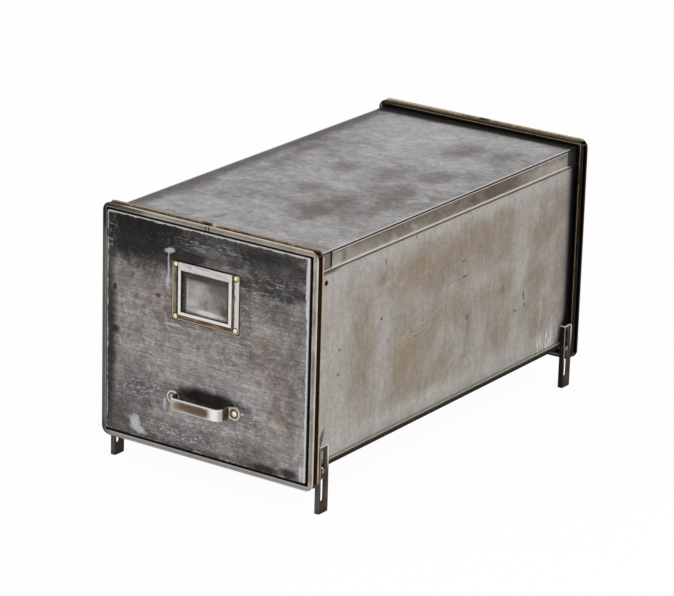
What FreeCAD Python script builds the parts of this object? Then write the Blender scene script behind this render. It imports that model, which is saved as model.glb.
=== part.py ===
import FreeCAD, Part
import math
import os

from FreeCAD import Vector

# Steel letter-size transfer file: a drawer case between two flanged rims, four slotted stacking
# legs, and one drawer on rollers with a sliding follower inside.
# Millimetres. X runs to the right, Y runs back from the front rim's face, Z runs up from the floor.
# Everything is moved at the end so that the origin is at the middle of the footprint.

# ---------------------------------------------------------------- driving dimensions
rim_width = 330.0
rim_height = 311.0
rim_depth = 13.6
rim_flange = 7.4            # rim's outer edge to its opening
rim_sheet = 1.2
rim_corner = 12.0
rim_opening_corner = 1.8
rim_bend = 0.9
rim_joint_gap = 0.8         # butt joint at the top of each rim
edge_bead = 1.4             # radius of the rolled edge round each rim plate
top_bead = 2.3              # radius of the thicker roll along its top
top_bead_inset = 7.0        # end of that roll to the rim's side
rim_web_inset = 2.0         # end of the top and bottom webs to the rim's side
overall_depth = 627.3       # front rim's face to the rear rim's back

leg_drop = 34.0             # rims stand this far above the floor
leg_length = 89.0
leg_flange = 7.0
leg_web = 18.5
leg_sheet = 1.5
leg_bend = 0.8
leg_gap = 3.4               # between a rim and the leg next to it
leg_foot_round = 2.0
leg_top_round = 4.5
leg_slot_width = 5.5
leg_slot_from_face = 2.6    # slot's edge behind the flange's face
leg_slot_low = 16.5         # lower slot, which takes a fastener
leg_slot_low_top = 46.5
leg_slot_top_gap = 5.0      # upper slot, whose foot holds the stud, to the leg's top
leg_stud_height = 56.8
leg_stud_shank = 3.4
leg_stud_head = 6.2
leg_stud_head_height = 1.1
leg_spacer_diameter = 5.0

cover_gap = 1.5             # cover's side inside the line of the rims' openings
wall_gap = 1.5              # between the cover's skirt and the wall
case_top_drop = 8.95        # cover's top below the rims' top
case_floor_rise = 18.6      # case's floor above the rims' bottom
case_sheet = 1.0
cover_bend = 0.8
cover_skirt = 24.4
cover_ledge = 1.8           # strip left below each notch
cover_hem = 3.4
cover_bead = 1.2            # radius of the bead along the hem
cover_bead_proud = 0.7
cover_notch_front = 29.2
cover_notch_back = 24.0
wall_lower_edge = 7.0       # wall's edge above the case's floor
wall_edge_roll = 1.5
wall_top_flange = 10.0
floor_skirt = 19.0
tie_hole_diameter = 7.0
tie_hole_back = 35.0
tie_hole_height = 295.0

runner_sheet = 1.2
runner_shelf = 12.0
runner_lip = 8.0
runner_bend = 0.6
runner_front = 30.0
runner_back_gap = 48.1       # runner's end to the case's back
roller_diameter = 13.0
roller_width = 8.0
roller_edge = 0.5
roller_gap = 0.3            # between a roller and what rolls on it
roller_head_gap = 0.5       # between a rear roller and the runner's lip
roller_bore_clearance = 0.05
pin_diameter = 4.0
pin_head = 7.0
pin_head_height = 1.0
front_roller_back = 41.0
rear_roller_inset = 59.1     # rear roller's pin to the drawer's back
stop_tab_back = 63.0
stop_tab_height = 9.0

front_proud = 3.0           # drawer front stands out of the rim
front_sheet = 1.2
front_side_gap = 2.7        # drawer front's side to the rim's opening
front_bottom_gap = 3.1
front_top_gap = 1.3
front_plate_gap = 0.4       # behind the drawer front's folded edge
front_corner = 2.0
front_bend = 1.0
liner_sheet = 1.0

tray_gap = 2.0              # drawer's side to the floor pan's skirt line
tray_sheet = 1.0
tray_height = 213.0
tray_bend = 0.8
tray_hem = 6.0
tray_flange = 12.0
tray_fold = 12.0
tray_back_gap = 15.0        # drawer's back to the case's back
tray_back_drop = 20.0       # drawer's back is lower than its sides
bracket_sheet = 1.6
bracket_length = 30.0
bracket_flange = 15.0

holder_width = 102.0
holder_height = 75.7
holder_window_width = 74.0
holder_window_height = 54.7
holder_window_rise = 0.5    # window's middle above the frame's middle
holder_lip = 4.0
holder_sheet = 0.9
holder_rise = 3.0
holder_corner = 2.5
holder_lip_corner = 1.5
holder_lip_edge = 0.6
holder_window_corner = 0.8
holder_centre_height = 253.85
holder_rivet_inset_x = 5.0
holder_rivet_inset_z = 3.95
holder_rivet_head = 6.0
holder_rivet_rise = 1.8
holder_rivet_shank = 3.0

handle_span = 81.0
handle_reach = 23.6
handle_strip = 15.0
handle_thickness = 2.5
handle_front_bend = 8.0
handle_ear_bend = 3.0
handle_ear = 17.0
handle_rivet_out = 7.5      # rivet's middle outside the bow's leg
handle_centre_height = 112.0
handle_rivet_head = 7.6
handle_rivet_rise = 2.2
handle_rivet_shank = 4.0
rivet_clearance = 0.1
rivet_tail = 1.0

track_width = 28.0
track_height = 7.0
track_slot = 12.0
track_sheet = 1.2
track_front = 20.0
foot_length = 80.0
foot_play = 0.4             # all round, between the foot and the track
foot_base = 3.0
foot_neck = 10.0
foot_table = 1.6
foot_table_tail = 6.0
foot_ear = 2.5
foot_ear_height = 24.0
foot_ear_length = 24.0
follower_rest_gap = 100.0   # plate's face in front of the drawer's back at rest
follower_side_gap = 6.6
follower_height = 196.0
follower_sheet = 1.2
follower_fold = 8.0
follower_corner = 10.0
follower_rib_width = 14.0
follower_rib_height = 3.0
follower_rib_margin = 34.0
follower_rib_outer_corner = 9.0
follower_rib_inner_corner = 3.0
brake_width = 5.0
brake_arm = 4.0
brake_length = 60.0
brake_tab = 10.0
brake_tab_overhang = 6.0
brake_tab_sheet = 2.5
brake_hub_radius = 4.5
brake_pin_diameter = 3.0
brake_pin_clearance = 0.05
brake_pin_head = 1.2         # head's height and how far it stands out round the pin
brake_side_gap = 2.9        # between the brake lever and each ear
brake_shoe_gap = 0.4
brake_swing = 18.0          # degrees
brake_ear_top = 8.0         # ears' tops above the pin
brake_spring_wire = 0.8
brake_spring_turns = 3
brake_spring_gap = 0.1      # round the pin
brake_spring_leg = 0.7      # the legs' thickness

# ---------------------------------------------------------------- derived places
rim_half = rim_width / 2
opening_half = rim_half - rim_flange
rim_bottom = leg_drop
rim_top = leg_drop + rim_height
opening_bottom = rim_bottom + rim_flange
opening_top = rim_top - rim_flange
rear_rim_front = overall_depth - rim_depth

cover_half = opening_half - cover_gap
wall_half = cover_half - case_sheet - wall_gap
case_top = rim_top - case_top_drop
case_bottom = rim_bottom + case_floor_rise
case_front = rim_depth
case_back = overall_depth - rim_sheet
floor_top = case_bottom + case_sheet
wall_inside = wall_half - case_sheet
skirt_bottom = case_top - cover_skirt
wall_bottom = case_bottom + wall_lower_edge
pan_outside = wall_inside
pan_inside = pan_outside - case_sheet

front_leg_face = rim_depth + leg_gap
rear_leg_face = rear_rim_front - leg_gap - leg_web
right_leg_outer = rim_half - leg_stud_head_height
left_leg_outer = -cover_half
leg_slot_middle = leg_slot_from_face + leg_slot_width / 2
leg_slot_high = leg_length - leg_slot_top_gap

runner_bottom = floor_top
runner_floor = runner_bottom + runner_sheet
runner_web_inside = pan_inside - runner_sheet
roller_radius = roller_diameter / 2
runner_top = runner_floor + roller_gap + roller_diameter + roller_head_gap + runner_sheet
runner_end = case_back - runner_back_gap
roller_outer_side = runner_web_inside - 1.0
roller_inner_side = roller_outer_side - roller_width
rear_roller_height = runner_floor + roller_gap + roller_radius
tray_bottom = runner_top + 2.0
front_roller_height = tray_bottom - roller_gap - roller_radius
bracket_plate = roller_inner_side - 1.2

front_face = -front_proud
front_half = opening_half - front_side_gap
front_back = rim_depth - rim_sheet - front_plate_gap
front_low = opening_bottom + front_bottom_gap
front_high = opening_top - front_top_gap
holder_rivet_span_x = holder_width - 2 * holder_rivet_inset_x
holder_rivet_span_z = holder_height - 2 * holder_rivet_inset_z
handle_rivet_span = handle_span + 2 * handle_rivet_out

tray_half = wall_inside - tray_gap
tray_floor = tray_bottom + 2 * tray_sheet
tray_top = tray_bottom + tray_height
tray_back = case_back - tray_back_gap
rear_roller_back = tray_back - rear_roller_inset

footprint_front = front_face - handle_reach
origin_back = (footprint_front + overall_depth) / 2


# ---------------------------------------------------------------- helpers
def block(x0, x1, y0, y1, z0, z1):
    """A box between six planes."""
    return Part.makeBox(x1 - x0, y1 - y0, z1 - z0, Vector(x0, y0, z0))


def cylinder_x(radius, x0, x1, y, z):
    return Part.makeCylinder(radius, x1 - x0, Vector(x0, y, z), Vector(1, 0, 0))


def cylinder_y(radius, y0, y1, x, z):
    return Part.makeCylinder(radius, y1 - y0, Vector(x, y0, z), Vector(0, 1, 0))


def place(plane, u, v, w):
    """Point from two coordinates in a section plane and one along its normal."""
    if plane == "xz":
        return Vector(u, w, v)
    if plane == "yz":
        return Vector(w, u, v)
    return Vector(u, v, w)


def along(plane, length):
    normals = {"xz": Vector(0, 1, 0), "yz": Vector(1, 0, 0), "xy": Vector(0, 0, 1)}
    return normals[plane] * length


def turn_left(a, b, c):
    """Positive where the line a, b, c turns left."""
    return (b[0] - a[0]) * (c[1] - b[1]) - (b[1] - a[1]) * (c[0] - b[0])


def offset_line(points, distance):
    """Mitred copy of an open line of points, moved to its left."""
    normals = []
    for a, b in zip(points, points[1:]):
        length = math.hypot(b[0] - a[0], b[1] - a[1])
        normals.append((-(b[1] - a[1]) / length, (b[0] - a[0]) / length))
    moved = [(points[0][0] + normals[0][0] * distance, points[0][1] + normals[0][1] * distance)]
    for corner, before, after in zip(points[1:-1], normals, normals[1:]):
        share = distance / (1 + before[0] * after[0] + before[1] * after[1])
        moved.append((corner[0] + (before[0] + after[0]) * share, corner[1] + (before[1] + after[1]) * share))
    last = normals[-1]
    moved.append((points[-1][0] + last[0] * distance, points[-1][1] + last[1] * distance))
    return moved


def rounded_edges(points, radii, plane, level):
    """Edges of an open line of points, each inner corner rounded by its radius."""
    edges = []
    start = place(plane, points[0][0], points[0][1], level)
    for index, radius in enumerate(radii, 1):
        before, corner, after = (place(plane, p[0], p[1], level) for p in points[index - 1:index + 2])
        towards = (before - corner).normalize()
        onwards = (after - corner).normalize()
        half = towards.getAngle(onwards) / 2
        reach = radius / math.tan(half)
        entry = corner + towards * reach
        leave = corner + onwards * reach
        bisector = (towards + onwards).normalize()
        middle = corner + bisector * (radius / math.sin(half) - radius)
        edges.append(Part.LineSegment(start, entry).toShape())
        edges.append(Part.Arc(entry, middle, leave).toShape())
        start = leave
    edges.append(Part.LineSegment(start, place(plane, points[-1][0], points[-1][1], level)).toShape())
    return edges


def bent_sheet(points, thickness, bends, plane, start, end):
    """Folded sheet: its face follows the points and its thickness lies to their left."""
    other = offset_line(points, thickness)
    if not isinstance(bends, (list, tuple)):
        bends = [bends] * (len(points) - 2)
    near = []
    far = []
    for a, b, c, bend in zip(points, points[1:], points[2:], bends):
        left = turn_left(a, b, c) > 0
        near.append(bend + thickness if left else bend)
        far.append(bend if left else bend + thickness)
    edges = rounded_edges(points, near, plane, start)
    back = rounded_edges(other, far, plane, start)
    ends = [
        Part.LineSegment(edges[0].Vertexes[0].Point, back[0].Vertexes[0].Point).toShape(),
        Part.LineSegment(edges[-1].Vertexes[-1].Point, back[-1].Vertexes[-1].Point).toShape(),
    ]
    outline = Part.Wire(Part.__sortEdges__(edges + back + ends))
    return Part.Face(outline).extrude(along(plane, end - start))


def rounded_slab(half_width, low, high, corner, y0, y1):
    """Upright plate with rounded corners, from y0 to y1."""
    points = [
        (0, low), (half_width, low), (half_width, high),
        (-half_width, high), (-half_width, low), (0, low),
    ]
    edges = rounded_edges(points, [corner] * 4, "xz", y0)
    return Part.Face(Part.Wire(edges)).extrude(Vector(0, y1 - y0, 0))


def level_loop(shape, y, inside=None):
    """Edges that lie in the plane at y, only those within a half width where one is given."""
    found = []
    for edge in shape.Edges:
        box = edge.BoundBox
        flat = abs(box.YMin - y) < 1e-4 and abs(box.YMax - y) < 1e-4
        if flat and (inside is None or max(abs(box.XMin), abs(box.XMax)) < inside):
            found.append(edge)
    return found


def mirror_x(shape):
    return shape.mirror(Vector(0, 0, 0), Vector(1, 0, 0))


def save(name, shape):
    """Write one node, moved so that the origin is at the middle of the footprint."""
    moved = shape.copy()
    moved.translate(Vector(0, -origin_back, 0))
    moved.exportStep(os.path.join("parts", name + ".step"))


def rivet_y(x, z, face, grip, head, rise, shank, tail_head):
    """Rivet turned about Y: domed head in front of a face, shank through the grip, flat tail behind."""
    sphere_radius = (head * head / 4 + rise * rise) / (2 * rise)
    half_sweep = math.asin(head / 2 / sphere_radius) / 2
    crown = Vector(x, face - rise, z)
    drop = sphere_radius * (1 - math.cos(half_sweep))
    middle = crown + Vector(sphere_radius * math.sin(half_sweep), drop, 0)
    dome = Part.Arc(crown, middle, Vector(x + head / 2, face, z)).toShape()
    back = face + grip
    profile = [
        (head / 2, face), (shank / 2, face), (shank / 2, back), (tail_head / 2, back),
        (tail_head / 2, back + rivet_tail), (0, back + rivet_tail), (0, face - rise),
    ]
    rest = Part.makePolygon([Vector(x + radius, y, z) for radius, y in profile])
    outline = Part.Wire(Part.__sortEdges__([dome] + rest.Edges))
    return Part.Face(outline).revolve(Vector(x, 0, z), Vector(0, 1, 0), 360)


# ---------------------------------------------------------------- case
def make_rim(front):
    """Hoop of angle section: a front flange and webs back to the plate, the level ones out to the sides."""
    back = front + rim_depth - rim_sheet
    flange = rounded_slab(rim_half, rim_bottom, rim_top, rim_corner, front, front + rim_sheet)
    web_half = opening_half + rim_sheet
    web_corner = rim_opening_corner + rim_sheet
    web = rounded_slab(web_half, opening_bottom - rim_sheet, opening_top + rim_sheet, web_corner, front, back)
    opening = rounded_slab(opening_half, opening_bottom, opening_top, rim_opening_corner, front - 1, back + 1)
    hoop = flange.fuse(web)
    end = rim_half - rim_web_inset
    roll_front = front + rim_depth - 2 * edge_bead
    for low in (opening_bottom - rim_sheet, opening_top):
        hoop = hoop.fuse(block(-end, end, front + rim_sheet, roll_front, low, low + rim_sheet))
    hoop = hoop.cut(opening).removeSplitter()
    hoop = hoop.makeFillet(rim_bend, level_loop(hoop, front, opening_half + 0.1))
    gap = rim_joint_gap / 2
    return hoop.cut(block(-gap, gap, front - 1, back + 1, opening_top - 1, rim_top + 1))


def make_rim_plate(front):
    """Flat plate with a rolled edge, thicker along its top, and a butt joint there."""
    back = front + rim_depth
    half = rim_half - edge_bead
    low = rim_bottom + edge_bead
    high = rim_top - edge_bead
    corner = rim_corner - edge_bead
    plate = rounded_slab(half, low, high, corner, back - rim_sheet, back)
    roll_back = back - edge_bead
    line = [(0, low), (half, low), (half, high), (-half, high), (-half, low), (0, low)]
    path = Part.Wire(rounded_edges(line, [corner] * 4, "xz", roll_back))
    ring = Part.makeCircle(edge_bead, Vector(0, roll_back, low), Vector(1, 0, 0))
    roll = path.makePipeShell([Part.Wire(ring)], True, False)
    bar_half = rim_half - top_bead_inset
    bar = cylinder_x(top_bead, -bar_half, bar_half, back - top_bead, rim_top - top_bead)
    ends = [e for e in bar.Edges if e.BoundBox.XLength < 1e-6]
    bar = bar.makeFillet(top_bead * 0.6, ends)
    plate = plate.fuse(roll).fuse(bar).removeSplitter()
    gap = rim_joint_gap / 2
    return plate.cut(block(-gap, gap, front, back + 1, case_top + 1, rim_top + 1))


def make_front_plate():
    """Front rim's plate, with the opening the drawer passes through."""
    opening = block(
        -wall_inside, wall_inside, 0, rim_depth + 1, floor_top, case_top - case_sheet)
    return make_rim_plate(0).cut(opening)


def make_wall():
    """Right wall: rolled out along its lower edge and flanged in along its top."""
    top = case_top - case_sheet
    points = [(wall_half, wall_bottom), (wall_half, top), (wall_half - wall_top_flange, top)]
    wall = bent_sheet(points, case_sheet, 0.5, "xz", case_front, case_back)
    roll_middle = wall_half - case_sheet + wall_edge_roll
    roll = cylinder_y(wall_edge_roll, case_front, case_back, roll_middle, wall_bottom + wall_edge_roll)
    wall = wall.fuse(roll).removeSplitter()
    return wall.cut(cylinder_x(
        tie_hole_diameter / 2, wall_half - 5, wall_half + 5, tie_hole_back, tie_hole_height))


def make_cover():
    """Top sheet with a beaded, hemmed skirt down each side and a notch at each end of both skirts."""
    points = [
        (cover_half, skirt_bottom), (cover_half, case_top),
        (-cover_half, case_top), (-cover_half, skirt_bottom),
    ]
    cover = bent_sheet(points, case_sheet, cover_bend, "xz", case_front, case_back)
    hem_top = skirt_bottom + cover_hem
    hem = block(wall_half, cover_half - case_sheet, case_front, case_back, skirt_bottom, hem_top)
    bead_middle = cover_half + cover_bead_proud - cover_bead
    hem = hem.fuse(cylinder_y(cover_bead, case_front, case_back, bead_middle, skirt_bottom + cover_bead))
    cover = cover.fuse(hem).fuse(mirror_x(hem))
    skirt_front = rim_depth + cover_notch_front
    skirt_back = rear_rim_front - cover_notch_back
    ledge_top = skirt_bottom + cover_ledge
    for y0, y1 in ((case_front - 1, skirt_front), (skirt_back, case_back + 1)):
        notch = block(wall_half, cover_half + 1, y0, y1, ledge_top, case_top - case_sheet - cover_bend)
        cover = cover.cut(notch).cut(mirror_x(notch))
    return cover.removeSplitter()


def make_floor():
    """Bottom pan whose skirts stand up inside the walls."""
    points = [
        (-pan_outside, case_bottom + floor_skirt), (-pan_outside, case_bottom),
        (pan_outside, case_bottom), (pan_outside, case_bottom + floor_skirt),
    ]
    pan = bent_sheet(points, case_sheet, 0.8, "xz", case_front, case_back)
    for face in (front_leg_face, rear_leg_face):
        y = face + leg_slot_middle
        bore = leg_stud_shank / 2 + rivet_clearance
        hole = cylinder_x(bore, pan_inside - 1, pan_outside + 1, y, leg_stud_height)
        pan = pan.cut(hole).cut(mirror_x(hole))
    return pan


def make_leg(outer, face):
    """Slotted angle leg: a narrow front flange and a web with two slots beside the bend."""
    points = [(outer - leg_flange, face), (outer, face), (outer, face + leg_web)]
    leg = bent_sheet(points, leg_sheet, leg_bend, "xy", 0, leg_length)
    back = face + leg_web
    for height, radius in ((0, leg_foot_round), (leg_length, leg_top_round)):
        corner = [e for e in leg.Edges if abs(e.BoundBox.YMin - back) < 1e-4
                  and abs(e.BoundBox.YMax - back) < 1e-4
                  and abs(e.BoundBox.ZMin - height) < 1e-4
                  and abs(e.BoundBox.ZMax - height) < 1e-4]
        leg = leg.makeFillet(radius, corner)
    radius = leg_slot_width / 2
    middle = face + leg_slot_middle
    x0 = outer - leg_sheet - 1
    x1 = outer + 1
    lower_slot = (leg_slot_low + radius, leg_slot_low_top - radius)
    upper_slot = (leg_stud_height, leg_slot_high - radius)
    for low, high in (lower_slot, upper_slot):
        slot = block(x0, x1, middle - radius, middle + radius, low, high)
        for z in (low, high):
            slot = slot.fuse(cylinder_x(radius, x0, x1, middle, z))
        leg = leg.cut(slot)
    return leg


def make_leg_stud(face, side):
    """Stud through a leg's slot and the floor pan's skirt, headed at both ends."""
    y = face + leg_slot_middle
    z = leg_stud_height
    if side > 0:
        outside = right_leg_outer
    else:
        outside = -(left_leg_outer - leg_sheet)
    head = cylinder_x(leg_stud_head / 2, outside, outside + leg_stud_head_height, y, z)
    shank = cylinder_x(leg_stud_shank / 2, pan_inside, outside, y, z)
    tail = cylinder_x(leg_stud_head / 2 - 1.0, pan_inside - rivet_tail, pan_inside, y, z)
    stud = head.fuse(shank).fuse(tail).removeSplitter()
    if side > 0:
        return stud
    return mirror_x(stud)


def make_leg_spacer(face, side):
    """Collar on the stud that holds the leg off the floor pan's skirt."""
    y = face + leg_slot_middle
    z = leg_stud_height
    if side > 0:
        end = right_leg_outer - leg_sheet
    else:
        end = -left_leg_outer
    collar = cylinder_x(leg_spacer_diameter / 2, pan_outside, end, y, z)
    collar = collar.cut(cylinder_x(leg_stud_shank / 2 + rivet_clearance, pan_outside - 1, end + 1, y, z))
    if side > 0:
        return collar
    return mirror_x(collar)


def make_runner():
    """Right runner: a channel on the floor pan that keeps the drawer's rear roller captive."""
    points = [
        (pan_inside - runner_shelf, runner_bottom), (pan_inside, runner_bottom),
        (pan_inside, runner_top), (pan_inside - runner_lip, runner_top),
    ]
    runner = bent_sheet(points, runner_sheet, runner_bend, "xz", runner_front, runner_end)
    window_half = roller_radius + 2.0
    window = block(
        pan_inside - runner_lip - 1, runner_web_inside, runner_front - 1, front_roller_back + window_half,
        runner_top - runner_sheet - 1, runner_top + 1,
    )
    tab = block(
        pan_inside - runner_lip, runner_web_inside, stop_tab_back, stop_tab_back + runner_sheet,
        runner_floor, runner_floor + stop_tab_height,
    )
    hole = cylinder_x(
        pin_diameter / 2, runner_web_inside - 1, pan_inside + 1, front_roller_back, front_roller_height)
    return runner.cut(window).fuse(tab).cut(hole).removeSplitter()


def make_roller(y, z):
    """Turned roller with chamfered edges and a plain bore."""
    inner = roller_inner_side
    outer = roller_outer_side
    bore = pin_diameter / 2 + roller_bore_clearance
    shoulder = roller_radius - roller_edge
    profile = [
        (inner, bore), (outer, bore), (outer, shoulder), (outer - roller_edge, roller_radius),
        (inner + roller_edge, roller_radius), (inner, shoulder), (inner, bore),
    ]
    outline = Part.makePolygon([Vector(x, y, z + r) for x, r in profile])
    return Part.Face(outline).revolve(Vector(0, y, z), Vector(1, 0, 0), 360)


def make_front_pin():
    """Pin fixed in the runner's web, with a collar outside the roller and a head inside it."""
    head_face = roller_inner_side - 0.2
    y = front_roller_back
    z = front_roller_height
    shank = cylinder_x(pin_diameter / 2, head_face, pan_inside, y, z)
    head = cylinder_x(pin_head / 2, head_face - pin_head_height, head_face, y, z)
    collar = cylinder_x(pin_head / 2 - 0.5, roller_outer_side + 0.2, runner_web_inside, y, z)
    return shank.fuse(head).fuse(collar).removeSplitter()


# ---------------------------------------------------------------- drawer
def holder_rivet_places():
    places = []
    for x in (-holder_rivet_span_x / 2, holder_rivet_span_x / 2):
        for dz in (-holder_rivet_span_z / 2, holder_rivet_span_z / 2):
            places.append((x, holder_centre_height + dz))
    return places


def handle_rivet_places():
    return [(-handle_rivet_span / 2, handle_centre_height), (handle_rivet_span / 2, handle_centre_height)]


def drill_y(shape, places, diameter, y0, y1):
    """Clearance holes along Y at the given places."""
    for x, z in places:
        shape = shape.cut(cylinder_y(diameter / 2 + rivet_clearance, y0, y1, x, z))
    return shape


def make_front():
    """Drawer front: a pan with its four edges folded back."""
    pan = rounded_slab(front_half, front_low, front_high, front_corner, front_face, front_back)
    pan = pan.makeFillet(front_bend, level_loop(pan, front_face))
    hollow = rounded_slab(
        front_half - front_sheet, front_low + front_sheet, front_high - front_sheet,
        front_corner - front_sheet, front_face + front_sheet, front_back + 1,
    )
    pan = pan.cut(hollow)
    pan = drill_y(pan, holder_rivet_places(), holder_rivet_shank, front_face - 1, front_face + 3)
    return drill_y(pan, handle_rivet_places(), handle_rivet_shank, front_face - 1, front_face + 3)


def make_liner():
    """Inner sheet that closes the back of the drawer front."""
    return rounded_slab(
        front_half - front_sheet, front_low + front_sheet, front_high - front_sheet,
        front_corner - front_sheet, front_back - liner_sheet, front_back,
    )


def make_tray_side():
    """Right side of the drawer: rolling flange at its foot, outward hem on top, front weld flange."""
    points = [(tray_half - tray_flange, tray_bottom), (tray_half, tray_bottom), (tray_half, tray_top)]
    side = bent_sheet(points, tray_sheet, tray_bend, "xz", front_back, tray_back)
    hem = block(tray_half, tray_half + tray_sheet, front_back, tray_back, tray_top - tray_hem, tray_top)
    weld = block(
        tray_half - tray_flange, tray_half - tray_sheet, front_back, front_back + tray_sheet,
        tray_floor, tray_top,
    )
    return side.fuse(hem).fuse(weld).removeSplitter()


def make_tray_floor():
    """Drawer's floor on the side flanges, its front edge turned up against the liner."""
    half = tray_half - tray_sheet - tray_bend
    top = tray_bottom + tray_sheet
    floor = block(-half, half, front_back + tray_sheet, tray_back, top, top + tray_sheet)
    lip_half = half - tray_flange
    lip = block(-lip_half, lip_half, front_back, front_back + tray_sheet, top, top + tray_fold)
    return floor.fuse(lip).removeSplitter()


def make_tray_back():
    """Drawer's back: a pan whose edges fold forward inside the drawer's sides."""
    half = tray_half - tray_sheet
    high = tray_top - tray_back_drop
    pan = block(-half, half, tray_back - tray_fold, tray_back, tray_floor, high)
    hollow = block(
        -half + tray_sheet, half - tray_sheet, tray_back - tray_fold - 1, tray_back - tray_sheet,
        tray_floor + tray_sheet, high - tray_sheet,
    )
    return pan.cut(hollow)


def make_bracket():
    """Right bracket under the drawer that carries the rear roller's pin."""
    y0 = rear_roller_back - bracket_length / 2
    y1 = rear_roller_back + bracket_length / 2
    low = rear_roller_height - pin_head / 2 - 0.8
    flange_end = bracket_plate - bracket_flange
    points = [(bracket_plate, low), (bracket_plate, tray_bottom), (flange_end, tray_bottom)]
    bracket = bent_sheet(points, bracket_sheet, 0.8, "xz", y0, y1)
    return bracket.cut(cylinder_x(
        pin_diameter / 2, bracket_plate - bracket_sheet - 1, bracket_plate + 1,
        rear_roller_back, rear_roller_height))


def make_rear_pin():
    """Pin fixed in the bracket, with a collar inside the roller and a head outside it."""
    y = rear_roller_back
    z = rear_roller_height
    head_face = roller_outer_side + 0.2
    shank = cylinder_x(pin_diameter / 2, bracket_plate - bracket_sheet, head_face, y, z)
    head = cylinder_x(pin_head / 2 - 0.6, head_face, head_face + 0.5, y, z)
    collar = cylinder_x(pin_head / 2 - 0.5, bracket_plate, roller_inner_side - 0.2, y, z)
    tail = cylinder_x(
        pin_head / 2, bracket_plate - bracket_sheet - pin_head_height, bracket_plate - bracket_sheet, y, z)
    return shank.fuse(head).fuse(collar).fuse(tail).removeSplitter()


# ---------------------------------------------------------------- front furniture
def make_holder():
    """Pressed label frame: flat outer flange, raised lip round the window, open at its top."""
    centre = holder_centre_height
    back = front_face
    flange_front = back - holder_sheet
    crest = back - holder_rise
    window = holder_window_width / 2
    lip_half = window + holder_lip
    low = centre - holder_height / 2
    high = centre + holder_height / 2
    window_low = centre + holder_window_rise - holder_window_height / 2
    window_high = centre + holder_window_rise + holder_window_height / 2
    lip_low = window_low - holder_lip
    frame = rounded_slab(holder_width / 2, low, high, holder_corner, flange_front, back)
    raised = rounded_slab(lip_half, lip_low, high, holder_lip_corner, crest, back)
    raised = raised.makeFillet(holder_lip_edge, level_loop(raised, crest))
    under = block(
        -lip_half + holder_sheet, lip_half - holder_sheet, crest + holder_sheet, back + 1,
        lip_low + holder_sheet, high + 1,
    )
    window_cut = rounded_slab(window, window_low, window_high, holder_window_corner, crest - 1, back + 1)
    frame = frame.fuse(raised).cut(under).cut(window_cut).removeSplitter()
    return drill_y(frame, holder_rivet_places(), holder_rivet_shank, flange_front - 1, back + 1)


def make_holder_rivets():
    rivets = []
    for x, z in holder_rivet_places():
        rivets.append(rivet_y(
            x, z, front_face - holder_sheet, holder_sheet + front_sheet,
            holder_rivet_head, holder_rivet_rise, holder_rivet_shank, holder_rivet_shank + 1.6))
    return Part.makeCompound(rivets)


def make_handle():
    """Bow handle bent from one strip, with round ears flat on the drawer front."""
    out = handle_span / 2
    ear = front_face - handle_thickness
    front = front_face - handle_reach
    tip = handle_rivet_span / 2
    points = [(-tip, ear), (-out, ear), (-out, front), (out, front), (out, ear), (tip, ear)]
    bends = [handle_ear_bend, handle_front_bend, handle_front_bend, handle_ear_bend]
    low = handle_centre_height - handle_strip / 2
    bow = bent_sheet(points, handle_thickness, bends, "xy", low, low + handle_strip)
    for x, z in handle_rivet_places():
        bow = bow.fuse(cylinder_y(handle_ear / 2, ear, front_face, x, z))
    return drill_y(bow.removeSplitter(), handle_rivet_places(), handle_rivet_shank, ear - 1, front_face + 1)


def make_handle_rivets():
    rivets = []
    for x, z in handle_rivet_places():
        rivets.append(rivet_y(
            x, z, front_face - handle_thickness, handle_thickness + front_sheet,
            handle_rivet_head, handle_rivet_rise, handle_rivet_shank, handle_rivet_shank + 2.0))
    return Part.makeCompound(rivets)


# ---------------------------------------------------------------- follower
track_low = tray_floor
track_start = front_back + track_front
track_end = tray_back - tray_fold - 2.0
plate_face = tray_back - follower_rest_gap
foot_low = track_low + track_sheet + foot_play
foot_top = track_low + track_height + foot_play + foot_table
ear_front = plate_face + follower_fold
brake_back = ear_front + foot_ear_length / 2
brake_height = foot_top + foot_ear_height - brake_ear_top


def make_track():
    """Slotted channel on the drawer's floor that guides the follower's foot."""
    half = track_width / 2
    slot = track_slot / 2
    high = track_low + track_height
    points = [(-slot, high), (-half, high), (-half, track_low), (half, track_low), (half, high), (slot, high)]
    return bent_sheet(points, track_sheet, 0.4, "xz", track_start, track_end)


def make_foot():
    """Slider in the track, with two ears for the brake lever and a window for its shoe."""
    base_half = track_width / 2 - track_sheet - foot_play
    neck = foot_neck / 2
    back = plate_face + foot_length
    base_top = foot_low + foot_base
    table_low = foot_top - foot_table
    ear_back = ear_front + foot_ear_length
    base = block(-base_half, base_half, plate_face, back, foot_low, base_top)
    web = block(-neck, neck, plate_face, back, base_top, foot_top)
    table = block(-base_half, base_half, plate_face, ear_back + foot_table_tail, table_low, foot_top)
    foot = base.fuse(web).fuse(table)
    gap = brake_width / 2 + brake_side_gap
    for side in (-1, 1):
        x0, x1 = sorted((side * gap, side * (gap + foot_ear)))
        ear = block(x0, x1, ear_front, ear_back, foot_top, foot_top + foot_ear_height)
        ear = ear.cut(cylinder_x(brake_pin_diameter / 2, x0 - 1, x1 + 1, brake_back, brake_height))
        foot = foot.fuse(ear)
    reach = brake_height - foot_low
    swing = reach * math.tan(math.radians(brake_swing)) + brake_arm / 2 + 1.0
    window = block(
        -brake_width / 2 - 0.6, brake_width / 2 + 0.6, brake_back - swing, brake_back + brake_arm / 2 + 1.0,
        foot_low - 1, foot_top + 0.01,
    )
    return foot.cut(window).removeSplitter()


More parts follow.
